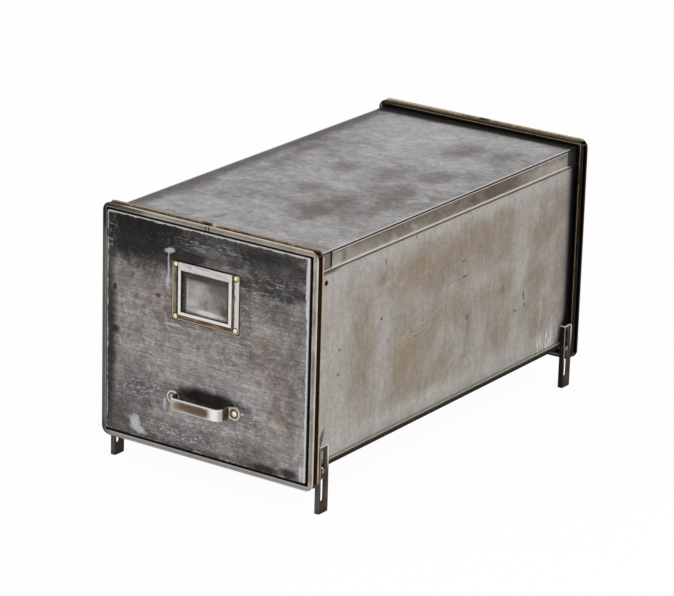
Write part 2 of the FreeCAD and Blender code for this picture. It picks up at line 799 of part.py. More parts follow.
def make_follower():
    """Follower plate: folded edges, rounded corners and a pressed rib frame."""
    low = foot_top
    high = low + follower_height
    half = tray_half - tray_sheet - follower_side_gap
    pan = rounded_slab(half, low, high, follower_corner, plate_face, plate_face + follower_fold)
    inner = follower_corner - follower_sheet
    hollow = rounded_slab(
        half - follower_sheet, low + follower_sheet, high - follower_sheet, inner,
        plate_face + follower_sheet, plate_face + follower_fold + 1,
    )
    pan = pan.cut(hollow)
    rib_half = half - follower_rib_margin
    rib_low = low + follower_rib_margin
    rib_high = high - follower_rib_margin
    width = follower_rib_width
    crest = plate_face - follower_rib_height

    def ring(inset, y0, y1):
        corner = follower_rib_outer_corner - inset
        outer = rounded_slab(rib_half - inset, rib_low + inset, rib_high - inset, corner, y0, y1)
        span = width - inset
        corner = follower_rib_inner_corner + inset
        hole = rounded_slab(rib_half - span, rib_low + span, rib_high - span, corner, y0 - 1, y1 + 1)
        return outer.cut(hole)

    rib = ring(0, crest, plate_face)
    channel = ring(follower_sheet, crest + follower_sheet, plate_face + follower_sheet + 0.01)
    return pan.fuse(rib).cut(channel).removeSplitter()


def make_brake():
    """Brake lever: a shoe that bears on the track's floor, an upright arm and a thumb tab."""
    half = brake_width / 2
    y = brake_back
    z = brake_height
    shoe = track_low + track_sheet + brake_shoe_gap
    hub = cylinder_x(brake_hub_radius, -half, half, y, z)
    arm = block(-half, half, y - brake_arm / 2, y + brake_arm / 2, shoe, z + brake_length)
    tab_half = half + brake_tab_overhang
    tab = block(
        -tab_half, tab_half, y - brake_arm / 2, y + brake_arm / 2 + brake_tab,
        z + brake_length, z + brake_length + brake_tab_sheet,
    )
    lever = hub.fuse(arm).fuse(tab).removeSplitter()
    bore = cylinder_x(brake_pin_diameter / 2 + brake_pin_clearance, -half - 1, half + 1, y, z)
    return lever.cut(bore)


def make_brake_pin():
    """Pin through both ears, headed at each end."""
    outer = brake_width / 2 + brake_side_gap + foot_ear
    pin = cylinder_x(brake_pin_diameter / 2, -outer, outer, brake_back, brake_height)
    head = brake_pin_diameter / 2 + brake_pin_head
    for x0, x1 in ((-outer - brake_pin_head, -outer), (outer, outer + brake_pin_head)):
        pin = pin.fuse(cylinder_x(head, x0, x1, brake_back, brake_height))
    return pin.removeSplitter()


def make_brake_spring():
    """Close-wound torsion spring on the pin: one leg down to the foot and one up beside the lever."""
    wire = brake_spring_wire
    inside = brake_pin_diameter / 2 + brake_spring_gap
    middle = inside + wire / 2
    outside = inside + wire
    end = brake_width / 2 + brake_side_gap - 0.2
    start = end - wire * brake_spring_turns
    profile = [(start, inside)]
    for turn in range(brake_spring_turns):
        left = start + wire * turn
        profile += [(left, middle), (left + wire / 4, outside), (left + wire * 3 / 4, outside)]
    profile += [(end, middle), (end, inside), profile[0]]
    outline = Part.makePolygon([Vector(x, brake_back, brake_height + radius) for x, radius in profile])
    coil = Part.Face(outline).revolve(Vector(0, brake_back, brake_height), Vector(1, 0, 0), 360)
    low_foot = Vector(end - wire / 2, brake_back - middle, foot_top)
    high_foot = Vector(start + wire / 2, brake_back - middle, brake_height)
    low_leg = Part.makeCylinder(brake_spring_leg / 2, brake_height - foot_top, low_foot)
    high_leg = Part.makeCylinder(brake_spring_leg / 2, brake_length / 4, high_foot)
    return coil.fuse(low_leg).fuse(high_leg).removeSplitter()


# ---------------------------------------------------------------- write every node
os.makedirs("parts", exist_ok=True)

save("front_rim", make_rim(0))
save("rear_rim", make_rim(rear_rim_front))
save("front_rim_plate", make_front_plate())
save("rear_rim_plate", make_rim_plate(rear_rim_front))
right_wall = make_wall()
save("case_wall_right", right_wall)
save("case_wall_left", mirror_x(right_wall))
save("top_cover", make_cover())
save("floor_pan", make_floor())

for where, leg_face in (("front", front_leg_face), ("rear", rear_leg_face)):
    save("leg_" + where + "_right", make_leg(right_leg_outer, leg_face))
    save("leg_" + where + "_left", make_leg(left_leg_outer, leg_face))
faces = (front_leg_face, rear_leg_face)
save("leg_studs", Part.makeCompound([make_leg_stud(face, side) for face in faces for side in (-1, 1)]))
save("leg_spacers_right", Part.makeCompound([make_leg_spacer(face, 1) for face in faces]))
save("leg_spacers_left", Part.makeCompound([make_leg_spacer(face, -1) for face in faces]))

runner = make_runner()
front_roller = make_roller(front_roller_back, front_roller_height)
front_pin = make_front_pin()
for side, turn in (("right", Part.Shape.copy), ("left", mirror_x)):
    save("runner_" + side, turn(runner))
    save("front_roller_" + side, turn(front_roller))
    save("front_roller_pin_" + side, turn(front_pin))

tray_side = make_tray_side()
bracket = make_bracket()
rear_roller = make_roller(rear_roller_back, rear_roller_height)
rear_pin = make_rear_pin()
for side, turn in (("right", Part.Shape.copy), ("left", mirror_x)):
    save("drawer_side_" + side, turn(tray_side))
    save("rear_roller_bracket_" + side, turn(bracket))
    save("rear_roller_" + side, turn(rear_roller))
    save("rear_roller_pin_" + side, turn(rear_pin))
save("drawer_front", make_front())
save("drawer_front_liner", make_liner())
save("drawer_floor", make_tray_floor())
save("drawer_back", make_tray_back())

save("label_holder", make_holder())
save("label_holder_rivets", make_holder_rivets())
save("drawer_pull", make_handle())
save("drawer_pull_rivets", make_handle_rivets())

save("follower_track", make_track())
save("follower_foot", make_foot())
save("follower_plate", make_follower())
save("brake_lever", make_brake())
save("brake_pin", make_brake_pin())
save("brake_spring", make_brake_spring())
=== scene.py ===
import bpy
import math
from mathutils import Matrix, Vector


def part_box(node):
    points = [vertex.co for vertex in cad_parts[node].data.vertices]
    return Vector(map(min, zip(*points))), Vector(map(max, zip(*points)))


# Dresses the steel file drawer: a procedural material for every CAD node, the photo's camera, a white
# floor and lamps. No shape is added to the object.
# Marks are placed in millimetres in the part's frame: x to the right, y to the back, z up from the floor.
# Colours are 0-255 display values. The two numbers of a step are where it begins and where it ends.

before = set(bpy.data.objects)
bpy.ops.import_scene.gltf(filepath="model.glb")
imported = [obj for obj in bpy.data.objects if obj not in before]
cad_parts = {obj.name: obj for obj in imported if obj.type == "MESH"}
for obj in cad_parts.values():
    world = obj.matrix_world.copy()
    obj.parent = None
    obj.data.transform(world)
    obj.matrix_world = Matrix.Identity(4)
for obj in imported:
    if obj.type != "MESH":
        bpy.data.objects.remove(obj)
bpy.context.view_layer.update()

MM = 1000.0                 # millimetres in a metre


# ---------------------------------------------------------------- places on the object
def node_box(name):
    """Lowest and highest corner of a node, in millimetres."""
    low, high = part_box(name)
    return Vector(low) * MM, Vector(high) * MM


RIM_LOW, RIM_HIGH = node_box("front_rim")
FRONT_LOW, FRONT_HIGH = node_box("drawer_front")
COVER_LOW, COVER_HIGH = node_box("top_cover")
WALL_LOW = node_box("case_wall_right")[0]
PULL_LOW, PULL_HIGH = node_box("drawer_pull")
HOLDER_LOW, HOLDER_HIGH = node_box("label_holder")
LEG_LOW, LEG_HIGH = node_box("leg_front_right")
REAR_LEG_LOW = node_box("leg_rear_right")[0]

RIM_FLANGE = 7.4            # rim's outer edge to its opening
PULL_RIVET_X = 48.0
PULL_EAR_DEPTH = 21.1       # ears' face behind the bow's
PULL_MIDDLE = (PULL_LOW.z + PULL_HIGH.z) / 2
PULL_RING = 5.2             # radius of the dark ring round a rivet of the pull
PULL_EAR_FLAT = 6.8         # radius at which the ear's bright edge begins
PULL_EAR_OUT = 9.5          # and where it ends
HOLDER_RING = 4.6           # radius of the brown ring round a rivet of the holder
HOLDER_RIVET_IN_X = 5.0     # rivets' middles inside the holder's edges
HOLDER_RIVET_IN_Z = 3.95
WINDOW_HALF = 40.0          # sheet that shows through the label holder
WINDOW_BOTTOM = 222.0
WINDOW_TOP = 283.0
JOINT_Z = 341.0             # butt joint of the front rim's hoop
FRONT_NOTCH_END = -245.0    # the cover's skirts are notched in front of this
REAR_NOTCH_START = 275.0    # and behind this


# ---------------------------------------------------------------- camera
IMAGE_WIDTH = 674
CAMERA_AZIMUTH = 34.4
CAMERA_ELEVATION = 18.94
CAMERA_ROLL = 1.61
CAMERA_FOCAL_PIXELS = 3509.0
CAMERA_SENSOR = 36.0
CAMERA_FROM_RIM = Vector((2.4423, -3.284, 1.6261))    # metres from the foot of the front rim's middle


def place_camera():
    """Long lens from the front right, fitted to the object's edges."""
    azimuth = math.radians(CAMERA_AZIMUTH)
    elevation = math.radians(CAMERA_ELEVATION)
    roll = math.radians(CAMERA_ROLL)
    level = math.cos(elevation)
    back = Vector((math.sin(azimuth) * level, -math.cos(azimuth) * level, math.sin(elevation)))
    right = Vector((math.cos(azimuth), math.sin(azimuth), 0.0))
    up = back.cross(right)
    right_rolled = right * math.cos(roll) + up * math.sin(roll)
    up_rolled = up * math.cos(roll) - right * math.sin(roll)
    rim_foot = Vector((0.0, RIM_LOW.y, RIM_LOW.z)) / MM
    turn = Matrix((right_rolled, up_rolled, back)).transposed().to_4x4()
    camera = bpy.data.objects.new("camera", bpy.data.cameras.new("camera"))
    bpy.context.scene.collection.objects.link(camera)
    camera.matrix_world = Matrix.Translation(rim_foot + CAMERA_FROM_RIM) @ turn
    camera.data.sensor_fit = "HORIZONTAL"
    camera.data.sensor_width = CAMERA_SENSOR
    camera.data.lens = CAMERA_FOCAL_PIXELS / IMAGE_WIDTH * CAMERA_SENSOR
    camera.data.clip_end = 50.0
    bpy.context.scene.camera = camera


# ---------------------------------------------------------------- node materials
SPECULAR = 0.15             # keeps the white room from lifting the dark paints
BUMP_DEPTH = 0.3
NOISE_SHIFT = Vector((31.0, 47.0, 59.0))    # millimetres a noise moves for each 1 of its shift


def linear(red, green, blue):
    """Linear colour from sRGB display values."""
    values = []
    for value in (red, green, blue):
        value = value / 255
        values.append(value / 12.92 if value <= 0.04045 else ((value + 0.055) / 1.055) ** 2.4)
    return (*values, 1.0)


def toned(colour, share):
    """The colour made darker or lighter by a factor."""
    return [value * share for value in colour]


class Nodes:
    """One material's node tree, built by short calls."""

    def __init__(self, name, metallic):
        self.material = bpy.data.materials.new(name)
        self.material.use_nodes = True
        self.tree = self.material.node_tree
        self.tree.nodes.clear()
        output = self.new("ShaderNodeOutputMaterial")
        self.shader = self.new("ShaderNodeBsdfPrincipled")
        self.link(self.shader.outputs["BSDF"], output.inputs["Surface"])
        self.shader.inputs["Metallic"].default_value = metallic
        self.shader.inputs["Specular IOR Level"].default_value = SPECULAR
        scale = self.new("ShaderNodeVectorMath")
        scale.operation = "SCALE"
        scale.inputs["Scale"].default_value = MM
        self.link(self.new("ShaderNodeTexCoord").outputs["Object"], scale.inputs[0])
        self.place = scale.outputs[0]
        split = self.new("ShaderNodeSeparateXYZ")
        self.link(self.place, split.inputs[0])
        self.x, self.y, self.z = split.outputs[0], split.outputs[1], split.outputs[2]
        self.flat = self.place
        self.base = None
        self.fine = None

    def new(self, kind):
        return self.tree.nodes.new(kind)

    def link(self, source, target):
        self.tree.links.new(source, target)

    def put(self, socket, value):
        """Link a socket's value, or set a constant."""
        if isinstance(value, bpy.types.NodeSocket):
            self.link(value, socket)
        else:
            socket.default_value = value

    def plane(self, u, v):
        """Marks are placed by these two coordinates from here on."""
        node = self.new("ShaderNodeCombineXYZ")
        self.link(u, node.inputs[0])
        self.link(v, node.inputs[1])
        self.flat = node.outputs[0]

    # numbers and masks
    def calculate(self, operation, a, b=0.0):
        node = self.new("ShaderNodeMath")
        node.operation = operation
        self.put(node.inputs[0], a)
        self.put(node.inputs[1], b)
        return node.outputs[0]

    def chain(self, operation, values):
        total = values[0]
        for value in values[1:]:
            total = self.calculate(operation, total, value)
        return total

    def plus(self, a, b):
        return self.calculate("ADD", a, b)

    def minus(self, a, b):
        return self.calculate("SUBTRACT", a, b)

    def away(self, value):
        """Distance from 0, the same to both sides."""
        return self.calculate("ABSOLUTE", value)

    def least(self, *distances):
        return self.chain("MINIMUM", distances)

    def both(self, *masks):
        """1 where every mask is."""
        return self.chain("MULTIPLY", masks)

    def either(self, *masks):
        """1 where any mask is."""
        return self.chain("MAXIMUM", masks)

    def dot(self, a, b):
        node = self.new("ShaderNodeVectorMath")
        node.operation = "DOT_PRODUCT"
        self.put(node.inputs[0], a)
        self.put(node.inputs[1], b)
        return node.outputs["Value"]

    def step(self, value, low, high, out_low=0.0, out_high=1.0):
        """Smooth step from out_low to out_high as the value goes from low to high."""
        node = self.new("ShaderNodeMapRange")
        node.interpolation_type = "SMOOTHSTEP"
        self.put(node.inputs["Value"], value)
        node.inputs["From Min"].default_value = low
        node.inputs["From Max"].default_value = high
        node.inputs["To Min"].default_value = out_low
        node.inputs["To Max"].default_value = out_high
        return node.outputs["Result"]

    def band(self, value, low, high, soft=1.0):
        """1 between two places on one coordinate, with soft ends."""
        rise = self.step(value, low - soft, low + soft)
        fall = self.step(value, high - soft, high + soft, 1.0, 0.0)
        return self.both(rise, fall)

    def ragged(self, value, wobble, reach, middle=0.5):
        """The value shifted by a noise, so that what follows from it gets a ragged outline."""
        return self.plus(value, self.both(self.minus(wobble, middle), reach))

    def noise(self, grain, detail=4.0, rough=0.6, shift=0.0, warp=0.0, turn=0.0):
        """Noise whose grains are about this long in x, y and z, turned about the vertical."""
        if not isinstance(grain, tuple):
            grain = (grain, grain, grain)
        mapping = self.new("ShaderNodeMapping")
        mapping.vector_type = "TEXTURE"
        mapping.inputs["Scale"].default_value = grain
        mapping.inputs["Rotation"].default_value = (0.0, 0.0, math.radians(turn))
        mapping.inputs["Location"].default_value = NOISE_SHIFT * shift
        self.link(self.place, mapping.inputs["Vector"])
        node = self.new("ShaderNodeTexNoise")
        node.inputs["Scale"].default_value = 1.0
        node.inputs["Detail"].default_value = detail
        node.inputs["Roughness"].default_value = rough
        node.inputs["Distortion"].default_value = warp
        self.link(mapping.outputs[0], node.inputs["Vector"])
        return node.outputs["Fac"]

    def blot(self, centre, half, turn=0.0, soft=0.35, ragged=0.0, wobble=None):
        """Ellipse on the plane of marks, with a soft and, where asked, ragged outline."""
        flat = self.flat
        u, v = centre
        if turn:
            cosine = math.cos(math.radians(turn))
            sine = math.sin(math.radians(turn))
            turned = self.new("ShaderNodeCombineXYZ")
            self.link(self.dot(flat, (cosine, sine, 0.0)), turned.inputs[0])
            self.link(self.dot(flat, (-sine, cosine, 0.0)), turned.inputs[1])
            flat = turned.outputs[0]
            u, v = u * cosine + v * sine, v * cosine - u * sine
        scaled = self.new("ShaderNodeVectorMath")
        scaled.operation = "MULTIPLY_ADD"
        self.link(flat, scaled.inputs[0])
        scaled.inputs[1].default_value = (1.0 / half[0], 1.0 / half[1], 0.0)
        scaled.inputs[2].default_value = (-u / half[0], -v / half[1], 0.0)
        length = self.new("ShaderNodeVectorMath")
        length.operation = "LENGTH"
        self.link(scaled.outputs[0], length.inputs[0])
        distance = length.outputs["Value"]
        if ragged:
            distance = self.ragged(distance, wobble, ragged)
        return self.step(distance, 1.0 - soft, 1.0 + soft, 1.0, 0.0)

    def disc(self, centre, radius, soft):
        return self.blot(centre, (radius, radius), 0, soft)

    def fields(self, soft, places):
        """1 in any of several upright ellipses: (centre, half size)."""
        return self.either(*[self.blot(centre, half, 0, soft) for centre, half in places])

    def pits(self, spacing, size, share):
        """Small dots on the plane of marks, one in this share of the cells."""
        node = self.new("ShaderNodeTexVoronoi")
        node.voronoi_dimensions = "2D"
        node.inputs["Scale"].default_value = 1.0 / spacing
        self.link(self.flat, node.inputs["Vector"])
        split = self.new("ShaderNodeSeparateColor")
        self.link(node.outputs["Color"], split.inputs[0])
        spot = self.step(node.outputs["Distance"], size * 1.3 / spacing, size * 0.7 / spacing)
        return self.both(spot, self.calculate("LESS_THAN", split.outputs[0], share))

    def edge_wear(self, radius, low, high):
        """1 where the surface turns a corner, from the bevel normal."""
        bevel = self.new("ShaderNodeBevel")
        bevel.samples = 4
        bevel.inputs["Radius"].default_value = radius / MM
        facing = self.dot(bevel.outputs[0], self.new("ShaderNodeNewGeometry").outputs["Normal"])
        return self.step(self.minus(1.0, facing), low, high)

    # colour
    def paint(self, mask, colour, strength=1.0):
        """Lay a colour over the base where the mask is."""
        if strength != 1.0:
            mask = self.both(mask, strength)
        node = self.new("ShaderNodeMix")
        node.data_type = "RGBA"
        self.put(node.inputs["Factor"], mask)
        self.put(node.inputs["A"], self.base)
        self.put(node.inputs["B"], linear(*colour))
        self.base = node.outputs["Result"]

    def mark(self, colour, wobble, centre, half, turn, soft, ragged, strength):
        """Paint one ellipse, its outline ragged by this noise."""
        self.paint(self.blot(centre, half, turn, soft, ragged, wobble), colour, strength)

    def marks(self, colour, wobble, ellipses):
        """Paint ellipses in one colour: (centre, half size, turn, softness, raggedness, strength)."""
        for ellipse in ellipses:
            self.mark(colour, wobble, *ellipse)

    def tone(self, texture, low, high, dark, light):
        """Multiply the base by a factor between dark and light, as the texture goes from low to high."""
        node = self.new("ShaderNodeHueSaturation")
        self.put(node.inputs["Color"], self.base)
        self.put(node.inputs["Value"], self.step(texture, low, high, dark, light))
        self.base = node.outputs[0]

    def mottle(self, grain, shift, dark, light, strength, warp=1.2):
        """Wispy dark and light smudges in the size between cloud and grain."""
        smudge = self.noise(grain, 7.0, 0.68, shift, warp)
        self.paint(self.step(smudge, 0.47, 0.36), dark, strength)
        self.paint(self.step(smudge, 0.53, 0.64), light, strength)

    def finish(self, rough_low, rough_high, strength=0.08):
        """Give the shader its colour, and a roughness and a bump that follow the fine grain."""
        self.put(self.shader.inputs["Base Color"], self.base)
        self.put(self.shader.inputs["Roughness"], self.step(self.fine, 0.3, 0.7, rough_low, rough_high))
        bump = self.new("ShaderNodeBump")
        bump.inputs["Strength"].default_value = strength
        bump.inputs["Distance"].default_value = BUMP_DEPTH / MM
        self.link(self.fine, bump.inputs["Height"])
        self.link(bump.outputs[0], self.shader.inputs["Normal"])


def steel(name, dark, light, cloud, grain, shift, metallic=0.45, grit=0.5):
    """Bare steel: clouds between two colours and a fine grain over them."""
    nodes = Nodes(name, metallic)
    clouds = nodes.noise(cloud, 6.0, 0.62, shift, 0.6)
    nodes.fine = nodes.noise(grain, 4.0, 0.62, shift + 4.0)
    nodes.base = linear(*dark)
    nodes.paint(nodes.step(clouds, 0.36, 0.64), light)
    nodes.paint(nodes.step(nodes.fine, 0.5, 0.3), toned(dark, 0.7), grit)
    nodes.paint(nodes.step(nodes.fine, 0.52, 0.72), toned(light, 1.15), grit)
    return nodes


def small_steel(name, dark, light, cloud, wear, shift, metallic=0.6, roughness=(0.3, 0.45)):
    """Metal of a small or inner piece, with bright worn edges."""
    nodes = steel(name, dark, light, cloud, cloud / 6, shift, metallic, 0.3)
    nodes.paint(nodes.edge_wear(0.8, 0.03, 0.35), wear, 0.7)
    nodes.finish(*roughness, 0.06)
    return nodes


def inward(nodes, low, high):
    """How far a point is inside the side, top and bottom edges of a box that is centred on x = 0."""
    side = nodes.minus(high.x, nodes.away(nodes.x))
    top = nodes.minus(high.z, nodes.z)
    bottom = nodes.minus(nodes.z, low.z)
    return side, top, bottom


# ---------------------------------------------------------------- drawer front
CHARCOAL = (38, 37, 35)
DEEP = (24, 23, 21)
SCUFF = (188, 188, 190)


def front_clouds(nodes, wobble):
    """Brown, bare and smoky clouds over the whole sheet."""
    nodes.marks((122, 106, 92), wobble, (
        ((-100, 242), (26, 22), 0, 0.6, 1.4, 0.4),
        ((104, 150), (48, 74), 0, 0.6, 1.4, 0.3),
        ((98, 212), (22, 16), 0, 0.6, 1.4, 0.25),
    ))
    nodes.marks((156, 153, 153), wobble, (
        ((0, 199), (46, 9), 0, 0.6, 1.0, 0.6),
        ((116, 226), (16, 36), 0, 0.6, 1.0, 0.35),
        ((-6, 156), (86, 30), 0, 0.6, 1.0, 0.55),
        ((70, 130), (30, 26), 0, 0.6, 1.0, 0.7),
        ((20, 88), (92, 14), 0, 0.6, 1.0, 0.55),
        ((-112, 205), (18, 62), 0, 0.6, 1.0, 0.35),
        ((147, 100), (8, 70), 0, 0.6, 1.0, 0.45),
    ))
    nodes.marks((80, 78, 79), wobble, (
        ((-118, 100), (40, 40), 0, 0.6, 1.0, 0.5),
        ((-60, 58), (92, 16), 0, 0.6, 1.0, 0.45),
    ))
    nodes.mottle((13.0, 13.0, 9.0), 3.0, (84, 80, 77), (172, 168, 166), 0.3)


def front_grime_and_shadow(nodes, wobble):
    """Charcoal along the top and the left, painted shadow above and behind the pull, grime beside it and in
    the lower corners.
    """
    nodes.marks(CHARCOAL, wobble, (
        ((-104, 318), (78, 44), -4, 0.42, 1.0, 0.96),
        ((0, 328), (170, 14), 0, 0.35, 1.1, 0.8),
        ((-34, 302), (34, 15), 0, 0.35, 1.0, 0.92),
        ((12, 304), (40, 12), 0, 0.6, 1.6, 0.6),
        ((104, 312), (66, 20), 0, 0.4, 1.5, 0.78),
        ((104, 285), (60, 12), 1, 0.35, 1.3, 0.84),
        ((110, 258), (46, 18), -6, 0.5, 1.6, 0.4),
        ((61, 262), (11, 34), 0, 0.4, 1.2, 0.4),
        ((-153, 165), (12, 135), 0, 0.5, 0.7, 0.92),
        ((60, 47), (92, 7), 0, 0.5, 1.6, 0.45),
        ((-60, 47), (94, 7), 0, 0.5, 1.3, 0.4),
        ((-138, 72), (22, 24), 0, 0.6, 1.2, 0.45),
    ))
    nodes.mark((98, 96, 95), wobble, (8, 313), (34, 7), 0, 0.6, 1.4, 0.55)
    # Darker smudges beside and under the pull; the one under its right ear, at x 58, is painted shadow.
    nodes.marks((64, 62, 60), wobble, (
        ((-92, 108), (36, 18), 0, 0.6, 1.2, 0.4),
        ((58, 104), (24, 16), 0, 0.6, 1.2, 0.35),
        ((-20, 72), (70, 13), 0, 0.6, 1.4, 0.32),
    ))
    nodes.marks(DEEP, wobble, (
        ((-122, 302), (40, 26), 0, 0.5, 1.2, 0.55),
        ((-92, 326), (66, 14), 0, 0.5, 1.2, 0.75),
        # Painted shadow of the pull, above and behind its bow.
        ((9, 121), (53, 10), -1, 0.45, 0.6, 0.96),
        ((2, 110), (42, 8), 0, 0.5, 0.6, 0.88),
        ((-141, 182), (6, 5), 0, 0.5, 0.8, 0.8),
        ((-142, 238), (3, 4), 0, 0.5, 0.8, 0.8),
        ((-74, 240), (4, 2.5), 0, 0.5, 0.8, 0.75),
        ((-84, 52), (11, 5), 0, 0.5, 1.4, 0.6),
        ((95, 49), (20, 6), 0, 0.5, 1.5, 0.8),
        ((130, 52), (14, 6), 0, 0.5, 1.5, 0.8),
    ))


def front_brushing(nodes):
    """Smears, two lengths of brushing along x and the fine grain, as light and dark."""
    nodes.tone(nodes.noise((18.0, 18.0, 26.0), 7.0, 0.66, 17.0, 1.2), 0.38, 0.62, 0.82, 1.18)
    nodes.tone(nodes.noise((24.0, 3.0, 0.9), 3.0, 0.7, 11.0), 0.3, 0.7, 0.7, 1.3)
    nodes.tone(nodes.noise((60.0, 5.0, 2.4), 3.0, 0.6, 27.0), 0.34, 0.66, 0.9, 1.1)
    nodes.tone(nodes.fine, 0.34, 0.66, 0.9, 1.1)


def front_scuffs(nodes, wobble):
    """Pale drips and patches, two rust scratches, and flecks near the label holder and the pull."""
    torn = nodes.noise(6.0, 6.0, 0.78, 23.0, 0.4)
    nodes.marks(SCUFF, torn, (
        ((-58, 279), (1.3, 23), 1, 0.5, 2.4, 0.8),
        ((-56, 303), (7.5, 3.2), 12, 0.4, 2.8, 0.8),
        ((-60, 262), (1.8, 9), -4, 0.5, 2.4, 0.6),
        ((-50, 207), (13, 1.6), 2, 0.5, 2.4, 0.75),
        ((-62, 99), (2.6, 8), 0, 0.5, 2.4, 0.8),
        ((-109, 65), (7, 9), 24, 0.35, 2.8, 0.8),
        ((-103, 55), (13, 4.4), -12, 0.35, 2.8, 0.75),
        ((149, 58), (3, 10), 0, 0.4, 2.0, 0.8),
    ))
    nodes.mark((84, 48, 38), wobble, (-92, 278), (13, 0.9), 26, 0.5, 0.8, 0.7)
    nodes.mark((40, 34, 30), wobble, (-114, 260), (5, 1.0), 62, 0.5, 0.8, 0.7)
    coarse = nodes.step(nodes.noise((9.0, 3.0, 2.4), 6.0, 0.78, 5.0), 0.53, 0.64)
    flecked = nodes.fields(0.6, (
        ((-92, 112), (34, 14)), ((62, 112), (26, 22)), ((0, 86), (62, 10)), ((-40, 66), (70, 12)),
        ((84, 296), (60, 10)), ((96, 272), (56, 12)), ((66, 256), (15, 52)), ((-147, 305), (9, 22)),
        ((112, 252), (36, 8)), ((0, 318), (56, 10)), ((54, 206), (22, 12)),
    ))
    nodes.paint(nodes.both(coarse, flecked), SCUFF, 0.62)
    scratch = nodes.step(nodes.noise((7.0, 3.0, 1.8), 6.0, 0.8, 25.0), 0.55, 0.62)
    round_pull = nodes.fields(0.6, (
        ((-94, 110), (38, 15)), ((66, 104), (28, 24)), ((-6, 84), (70, 8)), ((-30, 62), (80, 12)),
    ))
    nodes.paint(nodes.both(scratch, round_pull), (214, 214, 216), 0.8)
    hints = nodes.step(nodes.noise((3.0, 3.0, 2.0), 4.0, 0.7, 15.0), 0.58, 0.7)
    nodes.paint(nodes.both(hints, nodes.blot((-90, 305), (62, 34), 0, 0.5)), (118, 112, 106), 0.5)
    nodes.paint(nodes.pits(16.0, 0.7, 0.25), (40, 32, 27), 0.75)


def label_window(nodes, wobble, dirty):
    """Sheet inside the label holder: painted shade against the lip, a painted lighter middle, and dirt;
    painted shadow round the holder.
    """
    window = nodes.both(nodes.band(nodes.x, -WINDOW_HALF, WINDOW_HALF),
                        nodes.band(nodes.z, WINDOW_BOTTOM, WINDOW_TOP))
    lit = nodes.both(nodes.band(nodes.x, -30.0, 32.0, 2.0), nodes.band(nodes.z, 228.5, 271.0, 3.0))
    # Painted shade along the lip, with the painted lit middle laid over it.
    nodes.paint(window, (50, 46, 38), 0.9)
    nodes.paint(nodes.both(window, lit), (152, 148, 145), 0.86)
    nodes.paint(nodes.both(window, nodes.step(dirty, 0.5, 0.38)), (100, 96, 92), 0.65)
    nodes.paint(nodes.both(window, lit, nodes.step(dirty, 0.54, 0.64)), (176, 173, 172), 0.6)
    nodes.tone(wobble, 0.36, 0.64, 0.9, 1.08)
    nodes.mark((84, 78, 70), wobble, (22, 266), (22, 9), -24, 0.7, 1.4, 0.8)
    nodes.mark((118, 98, 86), wobble, (18, 250), (9, 8), 0, 0.7, 1.4, 0.6)
    nodes.mark((74, 66, 54), wobble, (30, 236), (7, 13), 20, 0.7, 1.4, 0.8)
    nodes.mark((192, 189, 186), wobble, (-28, 250), (1.2, 18), 0, 0.6, 1.8, 0.65)
    nodes.mark((214, 212, 212), wobble, (2, 232), (24, 3.4), -2, 0.6, 2.2, 0.85)
    nodes.mark((196, 193, 192), wobble, (-20, 242), (9, 6), 20, 0.7, 2.0, 0.6)
    nodes.mark((184, 181, 180), wobble, (-14, 256), (10, 9), 0, 0.7, 1.8, 0.45)
    holder = nodes.least(*inward(nodes, HOLDER_LOW, HOLDER_HIGH))
    # Painted shadow in a thin ring round the holder's outline.
    holder_shadow = nodes.both(nodes.step(holder, -2.0, -0.9), nodes.step(holder, 2.0, 1.0))
    nodes.paint(holder_shadow, (26, 21, 16), 0.92)


def front_edges(nodes, wobble, dirty):
    """Bright edge, worn bare and with a painted highlight, chipped widest on the right; painted shade,
    black, on the lower fold and on the folds round the back, worn in places.
    """
    side, top, bottom = inward(nodes, FRONT_LOW, FRONT_HIGH)
    # Painted highlight along the rounded edge, worn bare in places.
    lit_bare_edge = nodes.ragged(nodes.least(side, top, bottom), wobble, -7.0, 0.46)
    nodes.paint(nodes.step(lit_bare_edge, 1.7, 0.8), (196, 194, 193), 0.8)
    chipped = nodes.either(nodes.step(nodes.z, 240.0, 280.0), nodes.step(nodes.z, 80.0, 45.0, 0.0, 0.6))
    width = nodes.step(chipped, 0.0, 1.0, 1.2, 3.6)
    right = nodes.step(nodes.minus(nodes.ragged(side, wobble, 12.0), width), 1.0, 0.0)
    nodes.paint(nodes.both(nodes.step(nodes.x, 144.0, 148.0), right), (200, 199, 200), 0.85)
    # Painted shade, black, on the lower fold in the gap under the sheet.
    nodes.paint(nodes.step(bottom, 1.9, 1.3), (12, 11, 10), 0.96)
    depth = nodes.minus(nodes.y, FRONT_LOW.y)
    # Painted shade, nearly black, on the folds round the back, in the gap to the rim.
    shaded_behind = nodes.step(depth, 1.0, 2.4)
    nodes.paint(shaded_behind, (20, 18, 16), 0.94)
    worn = nodes.both(shaded_behind, nodes.step(dirty, 0.52, 0.62), nodes.step(depth, 3.0, 6.0))
    nodes.paint(worn, (74, 68, 62), 0.6)


def front_steel():
    """Brushed sheet: charcoal along its top, pale scuffs, grime and painted shadow round the pull, and a
    bright edge, worn bare and with a painted highlight.
    """
    nodes = steel("front_steel", (112, 107, 104), (146, 140, 137), 34.0, (5.0, 3.0, 2.6), 2.0, 0.45, 0.35)
    nodes.plane(nodes.x, nodes.z)
    wobble = nodes.noise(15.0, 7.0, 0.74, 7.0, 0.5)
    dirty = nodes.noise((9.0, 9.0, 7.0), 7.0, 0.72, 21.0, 0.9)
    front_clouds(nodes, wobble)
    front_grime_and_shadow(nodes, wobble)
    front_brushing(nodes)
    front_scuffs(nodes, wobble)
    label_window(nodes, wobble, dirty)
    front_edges(nodes, wobble, dirty)
    nodes.finish(0.38, 0.54, 0.12)
    return nodes


# ---------------------------------------------------------------- walls
TAN = (134, 119, 98)
WALL_PALE = (172, 168, 165)


